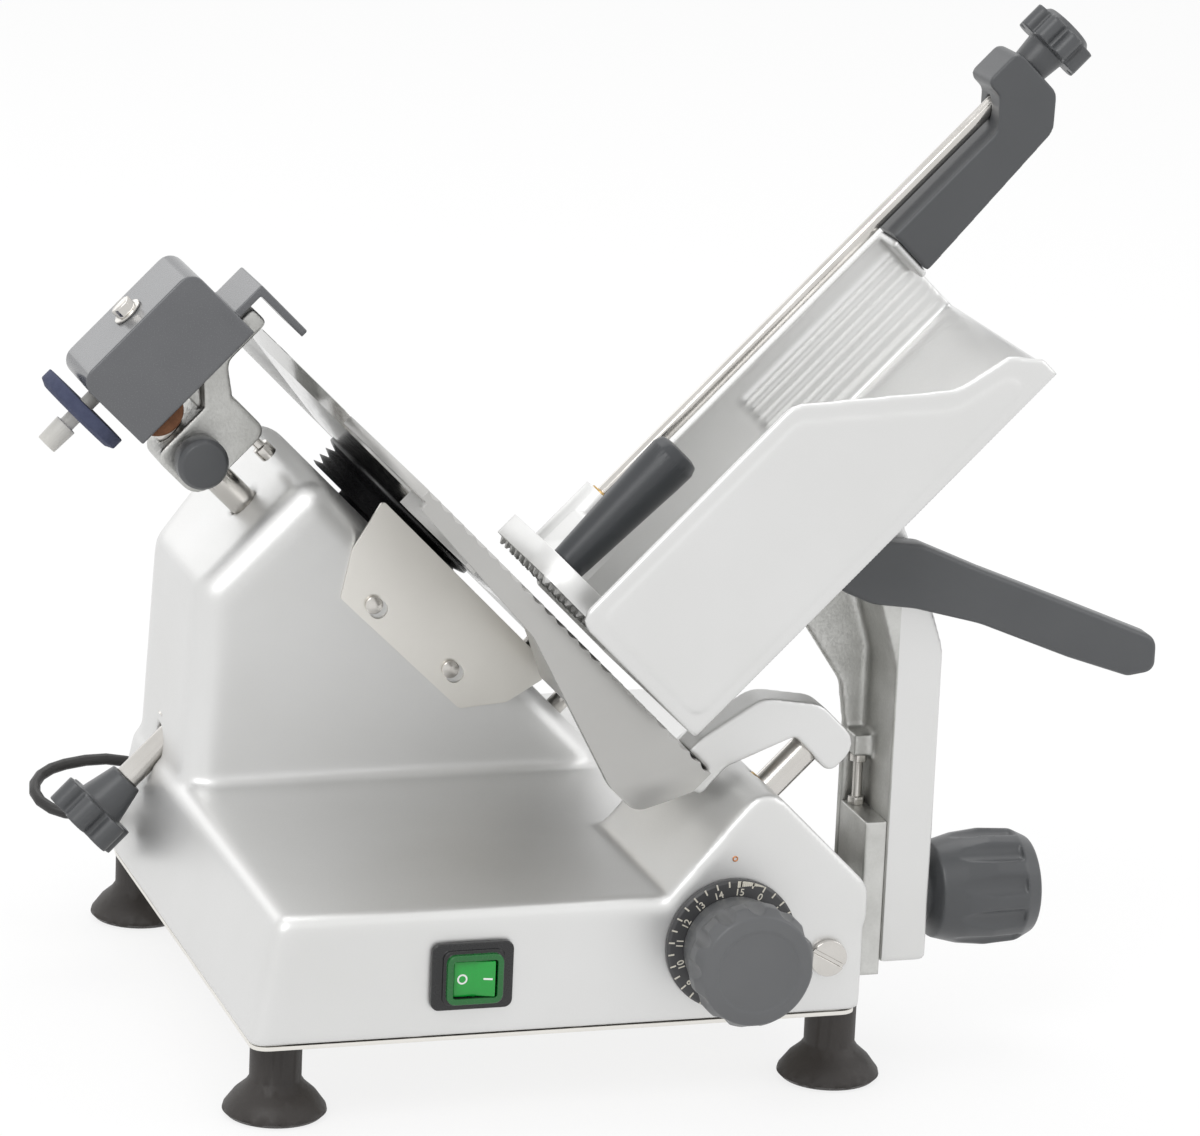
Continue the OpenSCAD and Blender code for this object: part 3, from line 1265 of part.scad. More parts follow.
base_casting();
bottom_cover();
cover_screws();
feet();
slide_rod();
guide_rod();
rod_end_screws();
switch_body();
switch_rocker();
dial_disc();
dial_knob();
dial_shaft();
gauge_plate();
gauge_arm();
gauge_rod();
gauge_follower();
gauge_bush();
knife();
knife_hub();
knife_bolts();
knife_pulley();
spindle();
spindle_bearings();
drive_belt();
motor();
motor_pulley();
knife_cover();
tie_rod();
tie_rod_knob();
ring_guard();
guard_posts();
slice_deflector();
deflector_pins();
sharpener_post();
sharpener_bracket();
sharpener_knob();
sharpener_stop_screw();
sharpener_housing();
sharpener_bolt();
grinding_stone();
deburring_stone();
stone_button();
carriage_arm();
slide_block();
slide_bushes();
adjusting_bolt();
clamp_knob();
carriage_handle();
food_tray();
pusher_rod();
pusher_bracket();
pusher_end_knob();
pusher_sleeve();
food_pusher();
pusher_handle();
cord_gland();
cord_run();
cord_coil();
cord_tie();
cord_plug();
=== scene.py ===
import bpy
import json
import math
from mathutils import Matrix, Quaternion, Vector


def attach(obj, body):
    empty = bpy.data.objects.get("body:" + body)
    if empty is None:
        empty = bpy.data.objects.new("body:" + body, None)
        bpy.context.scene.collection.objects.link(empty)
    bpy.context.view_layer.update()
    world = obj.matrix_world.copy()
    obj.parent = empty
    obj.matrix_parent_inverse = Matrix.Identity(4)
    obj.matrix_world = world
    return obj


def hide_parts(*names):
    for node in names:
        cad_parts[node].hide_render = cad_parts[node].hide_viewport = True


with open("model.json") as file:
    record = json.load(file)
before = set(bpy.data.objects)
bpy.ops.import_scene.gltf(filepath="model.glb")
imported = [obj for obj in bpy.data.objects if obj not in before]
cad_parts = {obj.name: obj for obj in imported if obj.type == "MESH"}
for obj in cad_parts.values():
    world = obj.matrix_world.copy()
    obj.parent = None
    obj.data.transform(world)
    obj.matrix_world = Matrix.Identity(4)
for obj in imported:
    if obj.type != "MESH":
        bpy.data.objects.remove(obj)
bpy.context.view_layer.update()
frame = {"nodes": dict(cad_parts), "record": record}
nodes = frame["nodes"]
bodyOf = {node: body for body, members in frame["record"]["behaviour"]["bodies"].items() for node in members}
slotOf = {row["node"]: row["material_slot"] for row in frame["record"]["subparts"]}
scene = bpy.context.scene
mm = 0.001
print("frame loaded,", len(nodes), "nodes")

# places are in mm from the middle of the base, as in the part's source
# the frame's origin is under the middle of the machine
middle = Vector((46, 9, 0))
tilt = math.radians(45)


def spot(x, y, z):
    return (Vector((x, y, z)) - middle) * mm


# on the knife plane t runs down the slope and n out of the knife
def slopeSpot(t, y, n):
    return spot((t + n) * math.sin(tilt), y, (n - t) * math.cos(tilt))


# camera, three quarter view from the front left
cameraSet = dict(azimuth=-17.64, elevation=15.25, roll=2.5, distance=2.8965, aim=(0.0097, -0.009, 0.2218),
                 lens=175.0, farClip=30)


def placeCamera(s):
    a, e = math.radians(s["azimuth"]), math.radians(s["elevation"])
    back = Vector((math.sin(a) * math.cos(e), -math.cos(a) * math.cos(e), math.sin(e)))
    bpy.ops.object.camera_add(location=Vector(s["aim"]) + back * s["distance"])
    cam = bpy.context.object
    cam.rotation_mode = "QUATERNION"
    turn = Quaternion((0, 0, 1), math.radians(s["roll"]))
    cam.rotation_quaternion = (-back).to_track_quat("-Z", "Y") @ turn
    cam.data.lens = s["lens"]
    cam.data.clip_end = s["farClip"]
    scene.camera = cam


placeCamera(cameraSet)
print("camera placed")


# shader groups shared by several finishes
def newGroup(name, inputs, outputs):
    group = bpy.data.node_groups.new(name, "ShaderNodeTree")
    for label, kind, value in inputs:
        socket = group.interface.new_socket(name=label, in_out="INPUT", socket_type=kind)
        socket.default_value = value
    for label, kind in outputs:
        group.interface.new_socket(name=label, in_out="OUTPUT", socket_type=kind)
    return group, group.nodes.new("NodeGroupInput"), group.nodes.new("NodeGroupOutput")


def noiseNode(tree, vector, scale, detail):
    noise = tree.nodes.new("ShaderNodeTexNoise")
    noise.inputs["Detail"].default_value = detail
    tree.links.new(vector, noise.inputs["Vector"])
    tree.links.new(scale, noise.inputs["Scale"])
    return noise.outputs["Fac"]


# noise stays near its middle, so only that part is spread over the whole range
noiseSpan = (0.3, 0.7)


def spread(tree, value, low, high):
    span = tree.nodes.new("ShaderNodeMapRange")
    tree.links.new(value, span.inputs["Value"])
    span.inputs["From Min"].default_value = noiseSpan[0]
    span.inputs["From Max"].default_value = noiseSpan[1]
    for label, end in (("To Min", low), ("To Max", high)):
        if isinstance(end, (int, float)):
            span.inputs[label].default_value = end
        else:
            tree.links.new(end, span.inputs[label])
    return span.outputs["Result"]


def mixColor(tree, factor, a, b):
    mix = tree.nodes.new("ShaderNodeMix")
    mix.data_type = "RGBA"
    tree.links.new(factor, mix.inputs["Factor"])
    tree.links.new(a, mix.inputs["A"])
    tree.links.new(b, mix.inputs["B"])
    return mix.outputs["Result"]


# grain: blotchy tone, roughness that changes with it, and a fine height
def makeGrainGroup():
    group, put, out = newGroup("surfaceGrain", [
        ("Color", "NodeSocketColor", (0.5, 0.5, 0.5, 1)), ("Worn Color", "NodeSocketColor", (0.5, 0.5, 0.5, 1)),
        ("Blotch Scale", "NodeSocketFloat", 30), ("Grain Scale", "NodeSocketFloat", 900),
        ("Rough Low", "NodeSocketFloat", 0.3), ("Rough High", "NodeSocketFloat", 0.4)],
        [("Color", "NodeSocketColor"), ("Roughness", "NodeSocketFloat"), ("Height", "NodeSocketFloat")])
    place = group.nodes.new("ShaderNodeTexCoord").outputs["Object"]
    blotch = noiseNode(group, place, put.outputs["Blotch Scale"], 4)
    grain = noiseNode(group, place, put.outputs["Grain Scale"], 3)
    worn = spread(group, blotch, 0.0, 1.0)
    group.links.new(mixColor(group, worn, put.outputs["Color"], put.outputs["Worn Color"]), out.inputs["Color"])
    rough = spread(group, grain, put.outputs["Rough Low"], put.outputs["Rough High"])
    group.links.new(rough, out.inputs["Roughness"])
    group.links.new(grain, out.inputs["Height"])
    return group


grainGroup = makeGrainGroup()


def makeFinish(name, color, worn, metallic=0.0, rough=(0.3, 0.4), blotch=25, grain=900, bump=0.1,
               depth=0.0001, coat=0.0):
    finish = bpy.data.materials.new(name)
    finish.use_nodes = True
    tree = finish.node_tree
    shader = tree.nodes["Principled BSDF"]
    cell = tree.nodes.new("ShaderNodeGroup")
    cell.node_tree = grainGroup
    cell.inputs["Color"].default_value = (*color, 1)
    cell.inputs["Worn Color"].default_value = (*worn, 1)
    cell.inputs["Blotch Scale"].default_value = blotch
    cell.inputs["Grain Scale"].default_value = grain
    cell.inputs["Rough Low"].default_value = rough[0]
    cell.inputs["Rough High"].default_value = rough[1]
    relief = tree.nodes.new("ShaderNodeBump")
    relief.inputs["Strength"].default_value = bump
    relief.inputs["Distance"].default_value = depth
    tree.links.new(cell.outputs["Color"], shader.inputs["Base Color"])
    tree.links.new(cell.outputs["Roughness"], shader.inputs["Roughness"])
    tree.links.new(cell.outputs["Height"], relief.inputs["Height"])
    tree.links.new(relief.outputs["Normal"], shader.inputs["Normal"])
    shader.inputs["Metallic"].default_value = metallic
    shader.inputs["Coat Weight"].default_value = coat
    return finish


finishes = {
    "cast_aluminium": makeFinish("satinAluminium", (0.75, 0.75, 0.745), (0.71, 0.71, 0.7), 0.84, (0.36, 0.48),
                                 blotch=9, grain=1400, bump=0.05),
    "raw_casting": makeFinish("rawCasting", (0.64, 0.64, 0.62), (0.52, 0.52, 0.5), 1.0, (0.34, 0.55),
                              blotch=60, grain=700, bump=0.35, depth=0.0003),
    "sheet_steel": makeFinish("deflectorSheet", (0.84, 0.82, 0.775), (0.79, 0.77, 0.725), 1.0, (0.3, 0.36),
                              blotch=14, grain=2500, bump=0.01),
    "knife_steel": makeFinish("groundKnifeSteel", (0.56, 0.56, 0.55), (0.5, 0.5, 0.49), 1.0, (0.1, 0.2),
                              blotch=12, grain=300, bump=0.04),
    "bright_steel": makeFinish("brightSteel", (0.66, 0.64, 0.61), (0.58, 0.56, 0.53), 1.0, (0.12, 0.24),
                               blotch=40, grain=800, bump=0.05),
    "bronze": makeFinish("bronzeBush", (0.55, 0.38, 0.16), (0.46, 0.3, 0.12), 1.0, (0.25, 0.4), blotch=80),
    "drive_metal": makeFinish("driveMetal", (0.45, 0.45, 0.46), (0.38, 0.38, 0.39), 1.0, (0.3, 0.5), blotch=40),
    "grey_plastic": makeFinish("mouldedGreyPlastic", (0.075, 0.078, 0.082), (0.065, 0.068, 0.072), 0.0,
                               (0.3, 0.42), blotch=18, grain=2600, bump=0.12),
    "dial_plastic": makeFinish("dialPlastic", (0.05, 0.05, 0.052), (0.043, 0.043, 0.045), 0.0, (0.34, 0.46),
                               blotch=30, grain=2600, bump=0.1),
    "grey_housing": makeFinish("paintedHousing", (0.12, 0.123, 0.13), (0.105, 0.108, 0.115), 0.0, (0.2, 0.3),
                               blotch=20, grain=1500, bump=0.08, coat=0.2),
    "black_plastic": makeFinish("blackPlastic", (0.012, 0.012, 0.013), (0.016, 0.016, 0.017), 0.0, (0.22, 0.34),
                                blotch=40, grain=2200, bump=0.08),
    "green_lens": makeFinish("greenRocker", (0.0, 0.28, 0.028), (0.0, 0.32, 0.034), 0.0, (0.12, 0.2),
                             blotch=70, grain=1500, bump=0.03, coat=0.3),
    "foot_rubber": makeFinish("footRubber", (0.026, 0.022, 0.02), (0.034, 0.029, 0.026), 0.0, (0.45, 0.6),
                              blotch=40, grain=1800, bump=0.2),
    "cord_rubber": makeFinish("cordRubber", (0.016, 0.015, 0.015), (0.022, 0.021, 0.02), 0.0, (0.38, 0.5),
                              blotch=60, grain=2500, bump=0.15),
    "pale_plastic": makeFinish("palePlastic", (0.6, 0.59, 0.56), (0.54, 0.53, 0.5), 0.0, (0.35, 0.45),
                               blotch=40, grain=2000, bump=0.08),
    "grinding_grit": makeFinish("blueGrit", (0.045, 0.053, 0.1), (0.06, 0.07, 0.125), 0.0, (0.75, 0.95),
                                blotch=300, grain=2500, bump=0.8, depth=0.0003),
    "brown_grit": makeFinish("brownGrit", (0.13, 0.05, 0.02), (0.19, 0.08, 0.035), 0.0, (0.7, 0.9),
                             blotch=300, grain=2200, bump=0.8, depth=0.0003),
}
# nodes whose tone differs from the rest of their slot
ownFinish = {
    "dial_knob": makeFinish("knobGreyPlastic", (0.115, 0.118, 0.122), (0.1, 0.103, 0.107), 0.0, (0.32, 0.44),
                            blotch=18, grain=2600, bump=0.12),
    "pusher_handle": makeFinish("darkGreyPlastic", (0.04, 0.043, 0.047), (0.034, 0.037, 0.041), 0.0, (0.3, 0.42),
                                blotch=18, grain=2600, bump=0.12),
    "gauge_plate": makeFinish("anodisedPlate", (0.52, 0.515, 0.5), (0.46, 0.455, 0.44), 0.9, (0.32, 0.42),
                              blotch=10, grain=1400, bump=0.05),
}
creamMark = makeFinish("creamMark", (0.72, 0.69, 0.6), (0.66, 0.63, 0.54), 0.0, (0.4, 0.5), blotch=120)
whiteMark = makeFinish("whiteMark", (0.8, 0.82, 0.8), (0.74, 0.76, 0.74), 0.0, (0.4, 0.5), blotch=120)
darkGreen = makeFinish("greenFrame", (0.004, 0.11, 0.018), (0.004, 0.13, 0.022), 0.0, (0.2, 0.3), blotch=60,
                       grain=1500, bump=0.03, coat=0.2)
copperRing = makeFinish("copperRing", (0.6, 0.27, 0.12), (0.5, 0.22, 0.1), 1.0, (0.25, 0.35), blotch=200)
print("finishes made:", len(finishes))


# helpers for modelling by operators
def clearSelection():
    if bpy.context.object and bpy.context.object.mode != "OBJECT":
        bpy.ops.object.mode_set(mode="OBJECT")
    bpy.ops.object.select_all(action="DESELECT")


def makeActive(piece):
    clearSelection()
    piece.select_set(True)
    bpy.context.view_layer.objects.active = piece


def applyModifiers(piece):
    makeActive(piece)
    for modifier in list(piece.modifiers):
        bpy.ops.object.modifier_apply(modifier=modifier.name)


def editAll(piece):
    makeActive(piece)
    bpy.ops.object.mode_set(mode="EDIT")
    bpy.ops.mesh.select_all(action="SELECT")


def leaveEdit():
    bpy.ops.object.mode_set(mode="OBJECT")


def applyPlace(piece):
    makeActive(piece)
    bpy.ops.object.transform_apply(location=True, rotation=True, scale=True)


def smoothBy(piece, degrees):
    makeActive(piece)
    bpy.ops.object.shade_smooth_by_angle(angle=math.radians(degrees))


def joinPieces(pieces):
    clearSelection()
    for piece in pieces:
        piece.select_set(True)
    bpy.context.view_layer.objects.active = pieces[0]
    bpy.ops.object.join()
    return bpy.context.object


def finishPiece(piece, material, body):
    piece.data.materials.clear()
    piece.data.materials.append(material)
    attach(piece, body)
    return piece


def polyLine(name, points, closed=False):
    line = bpy.data.curves.new(name, "CURVE")
    line.dimensions = "3D"
    spline = line.splines.new("POLY")
    spline.points.add(len(points) - 1)
    for point, place in zip(spline.points, points):
        point.co = (*place, 1)
    spline.use_cyclic_u = closed
    piece = bpy.data.objects.new(name, line)
    scene.collection.objects.link(piece)
    return piece


# cord: the route is the one in the part's source, then a coil by formula
cordSet = dict(diameter=6 * mm, coilCentre=(-0.074, 0.2284), innerRadius=24.3 * mm, pitch=6.6 * mm,
               floorHeight=4.3 * mm, turns=3.5, climbTurns=0.5, tail=60 * mm, pointsPerTurn=24,
               roundness=5)
cordRoute = [
    (-0.215, 0.141, 0.058), (-0.218, 0.141, 0.058), (-0.2255, 0.1425, 0.0586), (-0.232, 0.1468, 0.06),
    (-0.2363, 0.1534, 0.062), (-0.2378, 0.161, 0.0644), (-0.2363, 0.1686, 0.0668), (-0.232, 0.1752, 0.069),
    (-0.2255, 0.1795, 0.071), (-0.218, 0.181, 0.0726), (-0.207, 0.181, 0.0742), (-0.196, 0.181, 0.0744),
    (-0.185, 0.181, 0.0725), (-0.174, 0.181, 0.068), (-0.163, 0.181, 0.061), (-0.152, 0.181, 0.0522),
    (-0.142, 0.181, 0.043), (-0.132, 0.181, 0.0332), (-0.123, 0.181, 0.0244), (-0.114, 0.181, 0.0164),
    (-0.106, 0.181, 0.0104), (-0.098, 0.181, 0.0063), (-0.091, 0.181, 0.0045), (-0.085, 0.181, 0.0043),
    (-0.08, 0.181, 0.0043)]


# the lower layer winds in, the upper one out again
def coilPoints(s):
    points = []
    for i in range(int(2 * s["turns"] * s["pointsPerTurn"]) + 1):
        u = i / s["pointsPerTurn"]
        radius = s["innerRadius"] + s["pitch"] * abs(u - s["turns"])
        climb = min(1, max(0, (u - s["turns"]) / s["climbTurns"] + 0.5))
        angle = math.radians(360 * u - 90)
        points.append((s["coilCentre"][0] + radius * math.cos(angle),
                       s["coilCentre"][1] + radius * math.sin(angle),
                       s["floorHeight"] + s["pitch"] * (1 - math.cos(math.pi * climb)) / 2))
    outer = s["coilCentre"][1] - s["innerRadius"] - s["pitch"] * s["turns"]
    high = s["floorHeight"] + s["pitch"]
    points.append((s["coilCentre"][0] + s["diameter"], outer, high))
    points.append((s["coilCentre"][0] + s["tail"], outer, high))
    return points


def makeCord():
    path = cordRoute + coilPoints(cordSet)
    cord = polyLine("mainsCord", path)
    cord.data.bevel_depth = cordSet["diameter"] / 2
    cord.data.bevel_resolution = cordSet["roundness"]
    cord.data.use_fill_caps = True
    cord.data.splines[0].use_smooth = True
    finishPiece(cord, finishes["cord_rubber"], "base")
    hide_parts("cord_run", "cord_coil")


# copies of the CAD nodes, with the edges broken as on the real castings and mouldings; angles in degrees
copySet = dict(mergeGap=0.02 * mm, flatAngle=0.6, bevelSteps=2, bevelAngle=32, smoothAngle=40, castSmooth=0.5)


def meshCopy(node):
    copy = bpy.data.objects.new(node + "_finished", nodes[node].data.copy())
    scene.collection.objects.link(copy)
    editAll(copy)
    bpy.ops.mesh.remove_doubles(threshold=copySet["mergeGap"])
    leaveEdit()
    return copy


def standFor(copy, node):
    finishPiece(copy, ownFinish.get(node, finishes[slotOf[node]]), bodyOf[node])
    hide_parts(node)
    return copy


def softCopy(node, width, crease):
    copy = meshCopy(node)
    editAll(copy)
    bpy.ops.mesh.dissolve_limited(angle_limit=math.radians(copySet["flatAngle"]))
    leaveEdit()
    if width:
        bevel = copy.modifiers.new("brokenEdges", "BEVEL")
        bevel.width = width * mm
        bevel.segments = copySet["bevelSteps"]
        bevel.limit_method = "ANGLE"
        bevel.angle_limit = math.radians(copySet["bevelAngle"])
        bevel.use_clamp_overlap = False
        applyModifiers(copy)
    smoothBy(copy, crease)
    return standFor(copy, node)


# the tower's upper corners are filled from inside, so that the skin closes over them
# top and low are x and z of the ball centres; at the back the low one follows the round corner of the wall
cornerSet = dict(radius=15.9 * mm, front=50, back=156.5, top=(-81.3, 243.9), low=(-124.3, 200.9), turn=29,
                 arcSteps=4)


def makeBall(radius, x, y, z):
    clearSelection()
    bpy.ops.mesh.primitive_uv_sphere_add(segments=32, ring_count=16, radius=radius, location=spot(x, y, z))
    ball = bpy.context.object
    applyPlace(ball)
    return ball


def makeCorners(s):
    (topX, topZ), (lowX, lowZ), radius, turn = s["top"], s["low"], s["radius"], s["turn"]
    balls = [makeBall(radius, topX, s["back"], topZ)]
    for i in range(s["arcSteps"] + 1):
        angle = math.radians(180 - 90 * i / s["arcSteps"])
        balls.append(makeBall(radius, lowX + turn * (1 + math.cos(angle)),
                              s["back"] - turn * (1 - math.sin(angle)), lowZ))
    corner = joinPieces(balls)
    editAll(corner)
    bpy.ops.mesh.convex_hull()
    leaveEdit()
    return [corner, makeBall(radius, topX, s["front"], topZ), makeBall(radius, lowX, s["front"], lowZ)]


def castCopy(node, voxel, rounds, filling):
    copy = meshCopy(node)
    if filling:
        copy = joinPieces([copy, *filling])
    skin = copy.modifiers.new("castSkin", "REMESH")
    skin.mode = "VOXEL"
    skin.voxel_size = voxel * mm
    soft = copy.modifiers.new("castRadius", "SMOOTH")
    soft.factor = copySet["castSmooth"]
    soft.iterations = rounds
    applyModifiers(copy)
    bpy.ops.object.shade_smooth()
    return standFor(copy, node)


# knife and cover: turned from profiles, given as radius and height above the slope's origin in mm
turnSet = dict(place=(-180, 95), steps=192, crease=5, mergeGap=0.001 * mm)
turnedProfiles = {
    "knife": [(22, 149), (60, 149), (112, 155.8), (125, 161.7), (125, 162), (116, 159.6), (58, 152), (22, 152)],
    "knife_cover": [(0, 150), (10, 150), (10, 158.3), (99, 158.3), (100, 159.1), (96, 160.8), (88, 160.5),
                    (0, 160.5)],
}


def turnedPiece(node, profile, s):
    points = [(radius * mm, 0, height * mm) for radius, height in profile]
    piece = polyLine(node + "_finished", points, closed=True)
    makeActive(piece)
    bpy.ops.object.convert(target="MESH")
    turned = piece.modifiers.new("turned", "SCREW")
    turned.steps = s["steps"]
    turned.render_steps = s["steps"]
    turned.use_merge_vertices = True
    applyModifiers(piece)
    editAll(piece)
    bpy.ops.mesh.remove_doubles(threshold=s["mergeGap"])
    bpy.ops.mesh.normals_make_consistent(inside=False)
    leaveEdit()
    smoothBy(piece, s["crease"])
    piece.location = slopeSpot(*s["place"], 0)
    piece.rotation_euler = (0, tilt, 0)
    applyPlace(piece)
    return standFor(piece, node)


# edge width in mm for the turned, sheet and machined nodes
brokenEdges = {
    "bottom_cover": 0.14, "cover_screws": 0.2, "feet": 0.0, "slide_rod": 0.3, "guide_rod": 0.3,
    "rod_end_screws": 0.4, "switch_body": 0.6, "switch_rocker": 0.5, "dial_disc": 0.2,
    "gauge_plate": 0.15, "gauge_rod": 0.4, "gauge_bush": 0.3, "knife_hub": 0.4,
    "tie_rod": 0.4, "ring_guard": 0.15, "guard_posts": 0.3,
    "slice_deflector": 0.15, "deflector_pins": 0.4, "sharpener_post": 0.5,
    "sharpener_knob": 0.5, "sharpener_stop_screw": 0.3, "sharpener_bolt": 0.4,
    "grinding_stone": 0.5, "deburring_stone": 0.4, "stone_button": 0.5,
    "adjusting_bolt": 0.3, "carriage_handle": 2.5, "pusher_rod": 0.5,
    "pusher_sleeve": 0.3, "food_pusher": 0.3, "pusher_handle": 0.6,
    "cord_gland": 0.4, "cord_plug": 0.4, "cord_tie": 0.2,
}
# voxel in mm and smoothing rounds for castings and mouldings with round edges
castEdges = {
    "base_casting": (2.4, 6), "food_tray": (1.4, 5), "carriage_arm": (1.3, 8), "slide_block": (1.0, 3),
    "gauge_arm": (0.9, 14), "sharpener_bracket": (0.8, 8), "sharpener_housing": (0.7, 3),
    "pusher_bracket": (0.9, 8), "dial_knob": (0.6, 3), "clamp_knob": (0.8, 6), "tie_rod_knob": (0.6, 5),
    "pusher_end_knob": (0.6, 5),
}
# sheet nodes with flat bends, whose faces stay apart above this angle in degrees
creases = {"slice_deflector": 15}
finished = {node: turnedPiece(node, profile, turnSet) for node, profile in turnedProfiles.items()}
for node, width in brokenEdges.items():
    finished[node] = softCopy(node, width, creases.get(node, copySet["smoothAngle"]))
for node, (voxel, rounds) in castEdges.items():
    filling = makeCorners(cornerSet) if node == "base_casting" else ()
    finished[node] = castCopy(node, voxel, rounds, filling)
for node, piece in nodes.items():
    if node not in finished:
        piece.data.materials.clear()
        piece.data.materials.append(finishes[slotOf[node]])


# the carriage arm is left as cast on its inner side, below and left of this edge
innerEdge = spot(174.5, 0, 235)


def splitInner(piece, edge):
    editAll(piece)
    bpy.ops.mesh.select_all(action="DESELECT")
    leaveEdit()
    for face in piece.data.polygons:
        face.select = face.center.x < edge.x and face.center.z < edge.z
    bpy.ops.object.mode_set(mode="EDIT")
    bpy.ops.mesh.select_mode(type="FACE")
    bpy.ops.mesh.separate(type="SELECTED")
    leaveEdit()
    inner = [other for other in bpy.context.selected_objects if other != piece][0]
    inner.name = "carriageArmInner"
    finishPiece(inner, finishes["raw_casting"], "carriage")
    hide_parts("carriage_arm")


splitInner(finished["carriage_arm"], innerEdge)
print("finished nodes:", len(finished))
makeCord()


# small pieces: made by operators, with their place applied to the mesh
def settle(piece, name, material, body):
    applyPlace(piece)
    piece.name = name
    return finishPiece(piece, material, body)


# printed scale on the dial: numbers, a tick at each half, and a wedge from the last number to zero
dialSet = dict(centre=spot(74, -176.55, 83), firstAngle=28, step=22.5, thick=0.1 * mm,
               numbers=16, numberRadius=26.7 * mm, numberSize=4.8 * mm, numberBold=0.05 * mm,
               tickRadius=30.7 * mm, tickLength=2.9 * mm, tickWidth=0.75 * mm,
               wedgeFrom=2, wedgeTo=27, wedgeParts=14, wedgeRadius=32.1 * mm, wedgeDeep=3.2 * mm,
               wedgeThin=0.5 * mm, wedgeLap=1.03)


def onDial(s, radius, degrees):
    angle = math.radians(degrees)
    return s["centre"] + Vector((radius * math.sin(angle), 0, radius * math.cos(angle)))


def makeDialMarks(s):
    parts = []
    for k in range(s["numbers"]):
        degrees = s["firstAngle"] + s["step"] * k
        clearSelection()
        bpy.ops.object.text_add()
        number = bpy.context.object
        number.data.body = str(k)
        number.data.size = s["numberSize"]
        number.data.align_x = "CENTER"
        number.data.align_y = "CENTER"
        number.data.extrude = s["thick"] / 2
        number.data.offset = s["numberBold"]
        bpy.ops.object.convert(target="MESH")
        bpy.ops.object.origin_set(type="ORIGIN_GEOMETRY", center="BOUNDS")
        number.location = onDial(s, s["numberRadius"], degrees)
        number.rotation_euler = (math.radians(90), math.radians(degrees), 0)
        parts.append(number)
        for half in (0, 0.5):
            turned = degrees + half * s["step"]
            bpy.ops.mesh.primitive_cube_add(size=1, location=onDial(s, s["tickRadius"], turned),
                                            rotation=(0, math.radians(turned), 0))
            tick = bpy.context.object
            tick.scale = (s["tickWidth"], s["thick"], s["tickLength"])
            parts.append(tick)
    span = (s["wedgeTo"] - s["wedgeFrom"]) / s["wedgeParts"]
    for i in range(s["wedgeParts"]):
        share = i / (s["wedgeParts"] - 1)
        deep = s["wedgeDeep"] * (1 - share) + s["wedgeThin"] * share
        turned = s["wedgeFrom"] + span * (i + 0.5)
        bpy.ops.mesh.primitive_cube_add(size=1, location=onDial(s, s["wedgeRadius"] - deep / 2, turned),
                                        rotation=(0, math.radians(turned), 0))
        block = bpy.context.object
        block.scale = (s["wedgeRadius"] * math.radians(span) * s["wedgeLap"], s["thick"], deep)
        parts.append(block)
    for part in parts:
        applyPlace(part)
    settle(joinPieces(parts), "dialMarks", creamMark, "dial")


# index on the front face above the dial, a small copper ring
indexSet = dict(place=spot(74.5, -172.6, 125), radius=1.1 * mm, wire=0.35 * mm)


def makeIndex(s):
    clearSelection()
    bpy.ops.mesh.primitive_torus_add(location=s["place"], rotation=(math.radians(90), 0, 0),
                                     major_radius=s["radius"], minor_radius=s["wire"], major_segments=32,
                                     minor_segments=10)
    settle(bpy.context.object, "dialIndex", copperRing, "base")


# switch: green frame round the rocker, and the off and on marks
switchSet = dict(centre=spot(-54, -180.9, 75), width=27.4 * mm, height=24.4 * mm, corner=4.2 * mm, band=3.0 * mm,
                 thick=3.4 * mm, edge=0.6 * mm, edgeAngle=50, smoothAngle=40,
                 offMark=spot(-60.02, -178.82, 75), offTurn=1, offRadius=2.1 * mm, offFlat=0.2, line=0.42 * mm,
                 onMark=spot(-47.93, -180.42, 75), onTurn=-15, onSize=(4.3 * mm, 0.12 * mm, 0.85 * mm))


def makeSwitchMarks(s):
    clearSelection()
    bpy.ops.mesh.primitive_plane_add(size=1)
    rim = bpy.context.object
    rim.scale = (s["width"], s["height"], 1)
    applyPlace(rim)
    editAll(rim)
    bpy.ops.mesh.bevel(offset=s["corner"], segments=8, affect="VERTICES")
    bpy.ops.mesh.select_all(action="SELECT")
    bpy.ops.mesh.inset(thickness=s["band"])
    bpy.ops.mesh.delete(type="FACE")
    leaveEdit()
    depth = rim.modifiers.new("frameDepth", "SOLIDIFY")
    depth.thickness = s["thick"]
    depth.offset = -1
    edge = rim.modifiers.new("frameEdge", "BEVEL")
    edge.width = s["edge"]
    edge.segments = 3
    edge.limit_method = "ANGLE"
    edge.angle_limit = math.radians(s["edgeAngle"])
    applyModifiers(rim)
    smoothBy(rim, s["smoothAngle"])
    rim.location = s["centre"]
    rim.rotation_euler = (math.radians(90), 0, 0)
    settle(rim, "switchFrame", darkGreen, "base")
    bpy.ops.mesh.primitive_torus_add(location=s["offMark"],
                                     rotation=(math.radians(90), 0, math.radians(s["offTurn"])),
                                     major_radius=s["offRadius"], minor_radius=s["line"], major_segments=40,
                                     minor_segments=8)
    ring = bpy.context.object
    ring.scale = (1, 1, s["offFlat"])
    bpy.ops.mesh.primitive_cube_add(size=1, location=s["onMark"], rotation=(0, 0, math.radians(s["onTurn"])))
    dash = bpy.context.object
    dash.scale = s["onSize"]
    for part in (ring, dash):
        applyPlace(part)
    settle(joinPieces([ring, dash]), "rockerMarks", whiteMark, "rocker")


makeDialMarks(dialSet)
makeIndex(indexSet)
makeSwitchMarks(switchSet)
print("marks made")


# studio: pale floor, white surround and soft lamps
studioSet = dict(floorSize=8.0, floorDrop=0.5 * mm, floorColor=(0.93, 0.93, 0.93), floorRough=0.9, floorGlow=0.8,
                 worldLight=0.8, lampAim=(0, 0, 0.2))


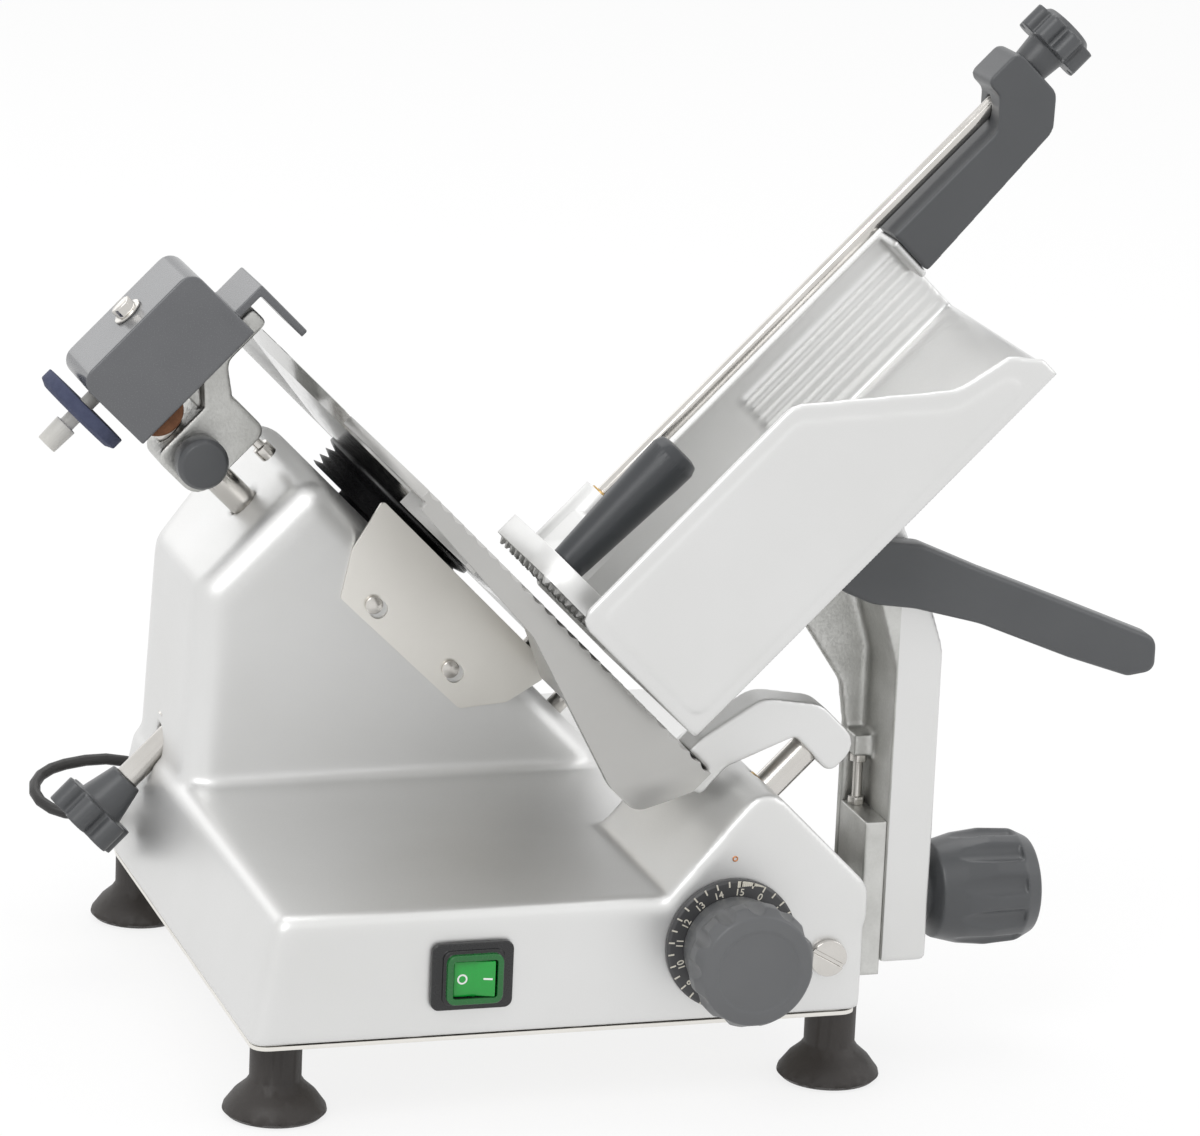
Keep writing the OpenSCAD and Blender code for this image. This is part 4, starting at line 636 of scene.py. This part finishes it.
# 1 for rays that show the background: those of the camera, of a reflection and of glass
def seenDirectly(tree):
    rays = tree.nodes.new("ShaderNodeLightPath")
    total = rays.outputs["Is Camera Ray"]
    for label in ("Is Glossy Ray", "Is Transmission Ray"):
        add = tree.nodes.new("ShaderNodeMath")
        add.operation = "ADD"
        add.use_clamp = True
        tree.links.new(total, add.inputs[0])
        tree.links.new(rays.outputs[label], add.inputs[1])
        total = add.outputs["Value"]
    return total


def makeFloor(s):
    clearSelection()
    bpy.ops.mesh.primitive_plane_add(size=s["floorSize"], location=(0, 0, -s["floorDrop"]))
    floor = bpy.context.object
    floor.name = "studioFloor"
    paper = bpy.data.materials.new("floorPaper")
    paper.use_nodes = True
    tree = paper.node_tree
    shader = tree.nodes["Principled BSDF"]
    shader.inputs["Base Color"].default_value = (*s["floorColor"], 1)
    shader.inputs["Roughness"].default_value = s["floorRough"]
    glow = tree.nodes.new("ShaderNodeEmission")
    blend = tree.nodes.new("ShaderNodeMixShader")
    share = tree.nodes.new("ShaderNodeMath")
    share.operation = "MULTIPLY"
    share.inputs[1].default_value = s["floorGlow"]
    tree.links.new(seenDirectly(tree), share.inputs[0])
    tree.links.new(share.outputs["Value"], blend.inputs["Fac"])
    tree.links.new(shader.outputs["BSDF"], blend.inputs[1])
    tree.links.new(glow.outputs["Emission"], blend.inputs[2])
    tree.links.new(blend.outputs["Shader"], tree.nodes["Material Output"].inputs["Surface"])
    floor.data.materials.append(paper)


def makeWorld(s):
    world = bpy.data.worlds.new("studioWorld")
    scene.world = world
    world.use_nodes = True
    tree = world.node_tree
    surround = tree.nodes["Background"]
    level = tree.nodes.new("ShaderNodeMapRange")
    tree.links.new(seenDirectly(tree), level.inputs["Value"])
    level.inputs["To Min"].default_value = s["worldLight"]
    level.inputs["To Max"].default_value = 1.0
    tree.links.new(level.outputs["Result"], surround.inputs["Strength"])
    surround.inputs["Color"].default_value = (1, 1, 1, 1)


lamps = [
    dict(name="keyLamp", place=(-1.6, -1.8, 2.4), size=1.6, power=29),
    dict(name="sideLamp", place=(2.2, -0.9, 1.6), size=1.4, power=8),
    dict(name="topLamp", place=(0.2, 0.9, 2.6), size=1.8, power=16),
    dict(name="backLamp", place=(-0.8, 2.4, 1.1), size=1.2, power=3),
]


def makeLamp(s, aim):
    bpy.ops.object.light_add(type="AREA", location=s["place"])
    lamp = bpy.context.object
    lamp.name = s["name"]
    lamp.data.size = s["size"]
    lamp.data.energy = s["power"]
    lamp.visible_camera = False
    lamp.rotation_mode = "QUATERNION"
    lamp.rotation_quaternion = (Vector(aim) - Vector(s["place"])).to_track_quat("-Z", "Y")


makeFloor(studioSet)
makeWorld(studioSet)
for lampSet in lamps:
    makeLamp(lampSet, studioSet["lampAim"])
scene.view_settings.view_transform = "Standard"
print("studio made")

clearSelection()
